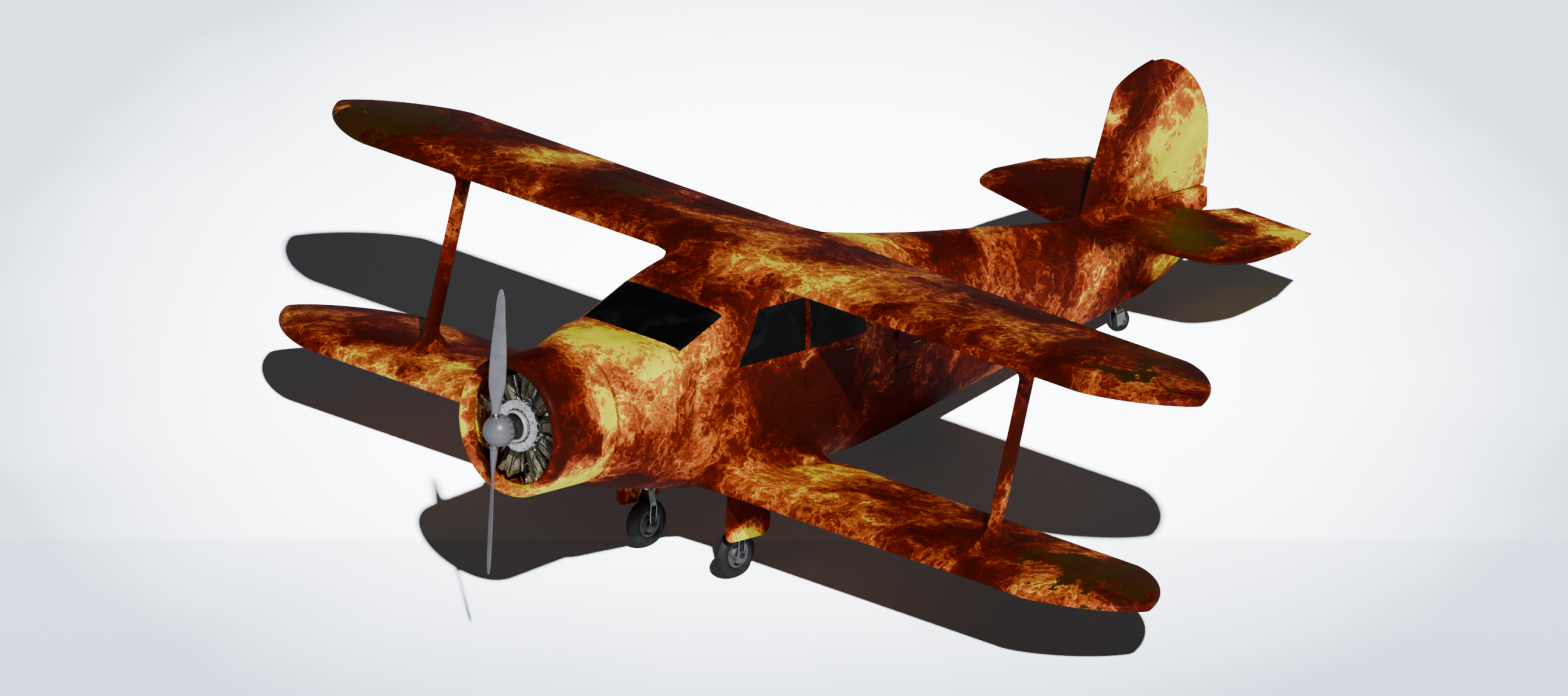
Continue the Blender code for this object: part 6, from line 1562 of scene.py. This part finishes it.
def make_cabin():
    """Three stuffed seats on their bases, and the control column with its wheel."""
    hide, base_finish = "seat leather", "panel black"
    floor = CABIN[2] + SEAT_GAP
    lean = math.pi / 2 - math.atan2(0.14, 0.60)
    for name, x, width, y in SEATS:
        half = width / 2
        squab = cushion((x, y + 0.185, floor + 0.250), (half - 0.001, 0.224, 0.068))
        build(name + "_squab", [squab], hide, "airframe", (name,), crease=60)
        rest = cushion((x, y + 0.505, floor + 0.600), (half - 0.004, 0.300, 0.054), lean)
        build(name + "_back", [rest], hide, crease=60)
        boxes = [block((x - half + 0.012, y + 0.012, floor), (x + half - 0.012, y + 0.44, floor + 0.185)),
                 block((x - half + 0.05, y + 0.43, floor), (x + half - 0.05, y + 0.459, floor + 0.20))]
        build(name + "_base", boxes, base_finish, bevel=0.008)
    y, z = COLUMN_Y, WHEEL_CENTRE_Z
    column = turned([(AXIS_RADIUS, floor), (0.0197, floor), (0.0197, floor + 0.02), (0.014, floor + 0.03),
                     (0.014, 0.09), (0.0197, 0.10), (0.0197, 0.12), (AXIS_RADIUS, 0.1203)], "z", 24,
                    (0, y, 0))
    circle = [(0.13 + 0.011 * math.cos(a), 0.011 * math.sin(a)) for a in np.arange(12) * math.tau / 12]
    rim = turned(circle, "y", 56, (0, y, z), True)
    spokes = [tube([(r * math.sin(a), y, z + r * math.cos(a)) for r in (0.02, 0.124)], 0.006, 10)
              for a in (math.pi, math.pi / 3, -math.pi / 3)]
    boss = turned([(AXIS_RADIUS, y - 0.010), (0.026, y - 0.010), (0.030, y), (0.026, y + 0.010),
                   (AXIS_RADIUS, y + 0.010)], "y", 32, (0, 0, z))
    build("control_column_tube", [column], "bright steel", "airframe", ("control_column",))
    build("control_wheel_rim", [rim, boss, *spokes], "black enamel")


def make_panel():
    """The instrument panel: a board, ringed dials with ticks and needles, and a row of switches."""
    board = body_slice(PANEL_FRONT_Y, PANEL_REAR_Y, WALL + 0.0012, 3, floor=PANEL_LOW, roof=PANEL_HIGH)
    build("instrument_board", [board], "panel black", "airframe", ("instrument_panel",))
    y, radius = PANEL_REAR_Y, DIAL_RADIUS
    ring = turned([(radius, y), (radius, y + 0.005), (radius - 0.003, y + 0.007), (radius - 0.006, y + 0.004),
                   (radius - 0.006, y)], "y", 40, wrap=True)
    face = turned([(AXIS_RADIUS, y + 0.002), (radius - 0.006, y + 0.002), (radius - 0.006, y - 0.004),
                   (AXIS_RADIUS, y - 0.004)], "y", 40)
    rings, faces, marks, needles = [], [], [], []
    seen = np.random.default_rng(5)

    def spoke(x, z, turn, radii, lift, thickness, sides):
        path = [(x + r * math.sin(turn), y + lift, z + r * math.cos(turn)) for r in radii]
        return tube(path, thickness, sides)

    for z, places in DIAL_ROWS:
        for x in places:
            rings.append(moved(ring, (x, 0, z)))
            faces.append(moved(face, (x, 0, z)))
            marks += [spoke(x, z, t, (radius - 0.013, radius - 0.008), 0.0024, 0.0008, 4)
                      for t in np.arange(12) * math.tau / 12]
            turn = seen.uniform(-2.2, 2.2)
            needles.append(spoke(x, z, turn, (0, radius - 0.014), 0.003, [0.0018, 0.0007], 6))
    build("dial_rings", rings, "dark steel")
    build("dial_faces", faces, "black enamel")
    build("dial_marks", marks + needles, "dial white")
    switches = [tube([(x, y - 0.001, 0.22), (x, y + 0.012, 0.226)], [0.005, 0.003], 10)
                for x in np.linspace(-0.36, 0.36, 19)]
    build("panel_switches", switches, "bright steel")


# ---- stage

def floor_finish():
    """The studio floor, with painted light: a pool of it palest in an ellipse in the middle and darker
    outward, and painted shade past a soft edge in front.

    What the floor sends back to the pieces is darker than what the camera sees of it.
    """
    made, tree, shader = material("studio floor", Roughness=0.9, Specular_IOR_Level=0.1)
    where = put(tree, "TexCoord")["Object"]
    across, rise = (maths(tree, "ADD", vector_maths(tree, "DOT_PRODUCT", where, axis, result="Value"), shift)
                    for axis, shift in zip(FLOOR_AXES, FLOOR_SHIFTS))
    shares = (maths(tree, "DIVIDE", v, axis) for v, axis in zip((across, rise), LIT_POOL_AXES))
    ellipse = put(tree, "CombineXYZ", dict(enumerate(shares)))[0]
    spread = vector_maths(tree, "LENGTH", ellipse, result="Value")
    mottle = ranged(tree, noise(tree, where, 0.5, 2.0, 0.5)["Fac"], 0.3, 0.7, -0.02, 0.02)
    # Painted pool of light: palest in the middle of the ellipse, darker outward.
    colour = ramp(tree, maths(tree, "ADD", spread, mottle), (
        (0.0, (0.500, 0.510, 0.540)), (0.50, (0.400, 0.415, 0.450)), (1.0, (0.080, 0.096, 0.124))))
    # Painted shade: greyer past the soft edge in front, more so further forward.
    depth = ranged(tree, rise, -1.5, -2.8, 0.30, 0.62, smooth_ends=False)
    fore = maths(tree, "MULTIPLY", ranged(tree, rise, *SHADED_FRONT_EDGE), depth)
    colour = blend(tree, fore, colour, (0.050, 0.066, 0.092))
    path = put(tree, "LightPath")
    seen = path["Is Camera Ray"]
    bounced = blend(tree, path["Is Glossy Ray"], (0.044, 0.046, 0.050), (0.009, 0.0095, 0.010))
    tree.links.new(blend(tree, seen, bounced, colour), shader["Base Color"])
    # Painted light: a glow seen only by the camera, which lifts the floor's shadows.
    tree.links.new(maths(tree, "MULTIPLY", seen, FLOOR_GLOW), shader["Emission Strength"])
    shader["Emission Color"].default_value = (0.90, 0.96, 1.0, 1.0)
    return made


def make_sky(scene, strength):
    """Soft light from all round, paler overhead."""
    world = scene.world or bpy.data.worlds.new("sky")
    scene.world = world
    world.use_nodes = True
    sky = world.node_tree
    sky.nodes.clear()
    up = put(sky, "SeparateXYZ", {0: put(sky, "TexCoord")["Generated"]})["Z"]
    glow = ramp(sky, ranged(sky, up, -0.1, 0.9), ((0.0, (0.55, 0.60, 0.68)), (1.0, (1.0, 1.0, 1.0))))
    background = put(sky, "Background", {"Color": glow, "Strength": strength})[0]
    sky.links.new(background, sky.nodes.new("ShaderNodeOutputWorld").inputs[0])


def make_sun(scene, name, energy, only=None):
    """A hard sun, on everything or on one collection."""
    sun = bpy.data.lights.new(name, "SUN")
    sun.energy = energy
    sun.angle = math.radians(1.2)
    lamp = bpy.data.objects.new(name, sun)
    lamp.rotation_euler = Vector(SUN_DIRECTION).to_track_quat("-Z", "Y").to_euler()
    scene.collection.objects.link(lamp)
    if only:
        lamp.light_linking.receiver_collection = only


def make_camera(scene):
    """The camera at the photograph's angle, its axes made square to each other."""
    back, up = (np.array(v) / np.linalg.norm(v) for v in (VIEW_BACK, VIEW_UP))
    right = np.cross(up, back)
    right /= np.linalg.norm(right)
    camera = bpy.data.cameras.new("camera")
    camera.type = "ORTHO"
    camera.ortho_scale = VIEW_WIDTH
    camera.clip_start, camera.clip_end = 1.0, 400.0
    eye = bpy.data.objects.new("camera", camera)
    position = place(VIEW_TARGET) + back * VIEW_DISTANCE
    columns = np.column_stack([right, np.cross(back, right), back, position])
    eye.matrix_world = Matrix(np.vstack([columns, (0, 0, 0, 1)]).tolist())
    scene.collection.objects.link(eye)
    scene.camera = eye


def make_stage(light):
    """A wide pale floor, a hard sun with more of it on the floor alone, a soft sky, and the camera."""
    scene = bpy.context.scene
    x = np.linspace(-1, 1, 41)[:, None]
    x, y = np.broadcast_arrays(x * FLOOR_REACH, x.T * FLOOR_REACH)
    points, quads, _ = grid(np.stack([x, y, 0 * x], -1), around=False)
    mesh = bpy.data.meshes.new("floor")
    mesh.from_pydata(points.tolist(), [], quads.tolist())
    mesh.materials.append(floor_finish())
    floor = bpy.data.objects.new("floor", mesh)
    scene.collection.objects.link(floor)
    make_sky(scene, light.sky)
    floor_only = bpy.data.collections.new("floor only")
    floor_only.objects.link(floor)
    make_sun(scene, "sun", light.sun)
    make_sun(scene, "floor sun", light.floor_sun, floor_only)
    make_camera(scene)


# ---- add-on

class BiplanePaint(bpy.types.PropertyGroup):
    """Colours of the flame paint, from its darkest to its hottest."""
    deep: FloatVectorProperty(name="Deep", description="Darkest red, almost black", subtype="COLOR",
                              default=(0.055, 0.0040, 0.0006), min=0.0, max=1.0)
    dark: FloatVectorProperty(name="Dark red", description="Red of the cooler parts", subtype="COLOR",
                              default=(0.095, 0.0045, 0.0010), min=0.0, max=1.0)
    red: FloatVectorProperty(name="Red", description="Main red", subtype="COLOR",
                             default=(0.165, 0.0085, 0.0015), min=0.0, max=1.0)
    orange: FloatVectorProperty(name="Orange", description="Warm parts", subtype="COLOR",
                                default=(0.470, 0.0850, 0.0170), min=0.0, max=1.0)
    amber: FloatVectorProperty(name="Amber", description="Rim of the hottest parts", subtype="COLOR",
                               default=(0.760, 0.2700, 0.0300), min=0.0, max=1.0)
    yellow: FloatVectorProperty(name="Yellow", description="Hottest parts", subtype="COLOR",
                                default=(0.960, 0.900, 0.0000), min=0.0, max=1.0)
    brown: FloatVectorProperty(name="Brown", description="Burnt flecks", subtype="COLOR",
                               default=(0.050, 0.019, 0.0020), min=0.0, max=1.0)
    heat: FloatProperty(name="Heat", description="Shifts the whole paint towards red or yellow",
                        default=0.0, min=-0.5, max=0.5)
    cloud_scale: FloatProperty(name="Cloud scale", description="How fine the clouds and veins are",
                               default=1.0, min=0.3, max=4.0)
    roughness: FloatProperty(name="Roughness", description="How dull the paint is", default=0.50,
                             min=0.05, max=0.9, subtype="FACTOR")


class BiplaneShape(bpy.types.PropertyGroup):
    """How finely the pieces are drawn."""
    skin_spacing: FloatProperty(name="Skin spacing", default=0.08, min=0.02, max=0.4, unit="LENGTH",
                                description="Most that the fuselage's sections are apart")
    cylinder_fins: IntProperty(name="Cylinder fins", description="Cooling fins on each cylinder",
                               default=14, min=3, max=30)
    tyre_grooves: IntProperty(name="Tyre grooves", description="Grooves round each main tyre",
                              default=5, min=0, max=9)


class BiplaneStage(bpy.types.PropertyGroup):
    """Light on the stage."""
    sun: FloatProperty(name="Sun", description="Strength of the sun", default=3.6, min=0.0, max=20.0)
    floor_sun: FloatProperty(name="Floor sun", description="More sun that falls on the floor alone",
                             default=110.0, min=0.0, max=200.0)
    sky: FloatProperty(name="Sky", description="Strength of the soft light", default=0.05,
                       min=0.0, max=5.0)


class BIPLANE_OT_fuselage(bpy.types.Operator):
    """Makes the hollow fuselage, its doors with their knuckles and handles, and the leg bosses"""
    bl_idname = "biplane.fuselage"
    bl_label = "Fuselage and doors"

    def execute(self, context):
        make_fuselage(context.scene.biplane_shape)
        return {"FINISHED"}


class BIPLANE_OT_windows(bpy.types.Operator):
    """Makes the windscreen, the side windows and the cabin door's pane"""
    bl_idname = "biplane.windows"
    bl_label = "Windows"

    def execute(self, context):
        make_windows()
        return {"FINISHED"}


class BIPLANE_OT_wings(bpy.types.Operator):
    """Makes the four wing panels, the ailerons, the flaps and their hinge pins"""
    bl_idname = "biplane.wings"
    bl_label = "Wings"

    def execute(self, context):
        make_wings()
        return {"FINISHED"}


class BIPLANE_OT_struts(bpy.types.Operator):
    """Makes the two struts between the wings"""
    bl_idname = "biplane.struts"
    bl_label = "Interplane struts"

    def execute(self, context):
        make_struts()
        return {"FINISHED"}


class BIPLANE_OT_tail(bpy.types.Operator):
    """Makes the fin, the rudder, the tailplane halves and the elevators"""
    bl_idname = "biplane.tail"
    bl_label = "Tail"

    def execute(self, context):
        make_tail()
        return {"FINISHED"}


class BIPLANE_OT_cowl(bpy.types.Operator):
    """Makes the engine cowl with its rolled lip"""
    bl_idname = "biplane.cowl"
    bl_label = "Engine cowl"

    def execute(self, context):
        make_cowl()
        return {"FINISHED"}


class BIPLANE_OT_engine(bpy.types.Operator):
    """Makes the radial engine and the firewall's shield"""
    bl_idname = "biplane.engine"
    bl_label = "Engine"

    def execute(self, context):
        make_engine(context.scene.biplane_shape)
        return {"FINISHED"}


class BIPLANE_OT_propeller(bpy.types.Operator):
    """Makes the hub dome, its slotted band and both blades"""
    bl_idname = "biplane.propeller"
    bl_label = "Propeller"

    def execute(self, context):
        make_propeller()
        return {"FINISHED"}


class BIPLANE_OT_gear(bpy.types.Operator):
    """Makes the main legs, wheels and gear doors, and the tail wheel on its fork"""
    bl_idname = "biplane.gear"
    bl_label = "Landing gear"

    def execute(self, context):
        make_gear(context.scene.biplane_shape)
        return {"FINISHED"}


class BIPLANE_OT_cabin(bpy.types.Operator):
    """Makes the seats and the control column"""
    bl_idname = "biplane.cabin"
    bl_label = "Cabin"

    def execute(self, context):
        make_cabin()
        return {"FINISHED"}


class BIPLANE_OT_panel(bpy.types.Operator):
    """Makes the instrument panel with its dials and switches"""
    bl_idname = "biplane.panel"
    bl_label = "Instrument panel"

    def execute(self, context):
        make_panel()
        return {"FINISHED"}


class BIPLANE_OT_stage(bpy.types.Operator):
    """Lays the floor, sets the sun and the sky, and places the camera"""
    bl_idname = "biplane.stage"
    bl_label = "Stage"

    def execute(self, context):
        make_stage(context.scene.biplane_stage)
        return {"FINISHED"}


class BIPLANE_PT_sidebar(bpy.types.Panel):
    """Lists the pieces of the biplane with the sizes and colours that they use"""
    bl_idname = "BIPLANE_PT_sidebar"
    bl_label = "Cabin biplane"
    bl_space_type = "VIEW_3D"
    bl_region_type = "UI"
    bl_category = "Biplane"

    def draw(self, context):
        for made in OPERATORS:
            self.layout.operator(made.bl_idname)
        for name, group in SETTINGS:
            box = self.layout.box()
            for key in group.__annotations__:
                box.prop(getattr(context.scene, name), key)


OPERATORS = (
    BIPLANE_OT_fuselage, BIPLANE_OT_windows, BIPLANE_OT_wings, BIPLANE_OT_struts, BIPLANE_OT_tail,
    BIPLANE_OT_cowl, BIPLANE_OT_engine, BIPLANE_OT_propeller, BIPLANE_OT_gear, BIPLANE_OT_cabin,
    BIPLANE_OT_panel, BIPLANE_OT_stage,
)
SETTINGS = (("biplane_paint", BiplanePaint), ("biplane_shape", BiplaneShape), ("biplane_stage", BiplaneStage))


def register():
    """Adds the settings, the operators and the panel to Blender."""
    for name, group in SETTINGS:
        bpy.utils.register_class(group)
        setattr(bpy.types.Scene, name, PointerProperty(type=group))
    for made in (*OPERATORS, BIPLANE_PT_sidebar):
        bpy.utils.register_class(made)


def unregister():
    """Takes them away again."""
    for made in (BIPLANE_PT_sidebar, *reversed(OPERATORS)):
        bpy.utils.unregister_class(made)
    for name, group in reversed(SETTINGS):
        delattr(bpy.types.Scene, name)
        bpy.utils.unregister_class(group)


def main():
    """Makes every piece in order."""
    register()
    bpy.ops.biplane.fuselage()
    bpy.ops.biplane.windows()
    bpy.ops.biplane.wings()
    bpy.ops.biplane.struts()
    bpy.ops.biplane.tail()
    bpy.ops.biplane.cowl()
    bpy.ops.biplane.engine()
    bpy.ops.biplane.propeller()
    bpy.ops.biplane.gear()
    bpy.ops.biplane.cabin()
    bpy.ops.biplane.panel()
    bpy.ops.biplane.stage()


if __name__ == "__main__":
    main()
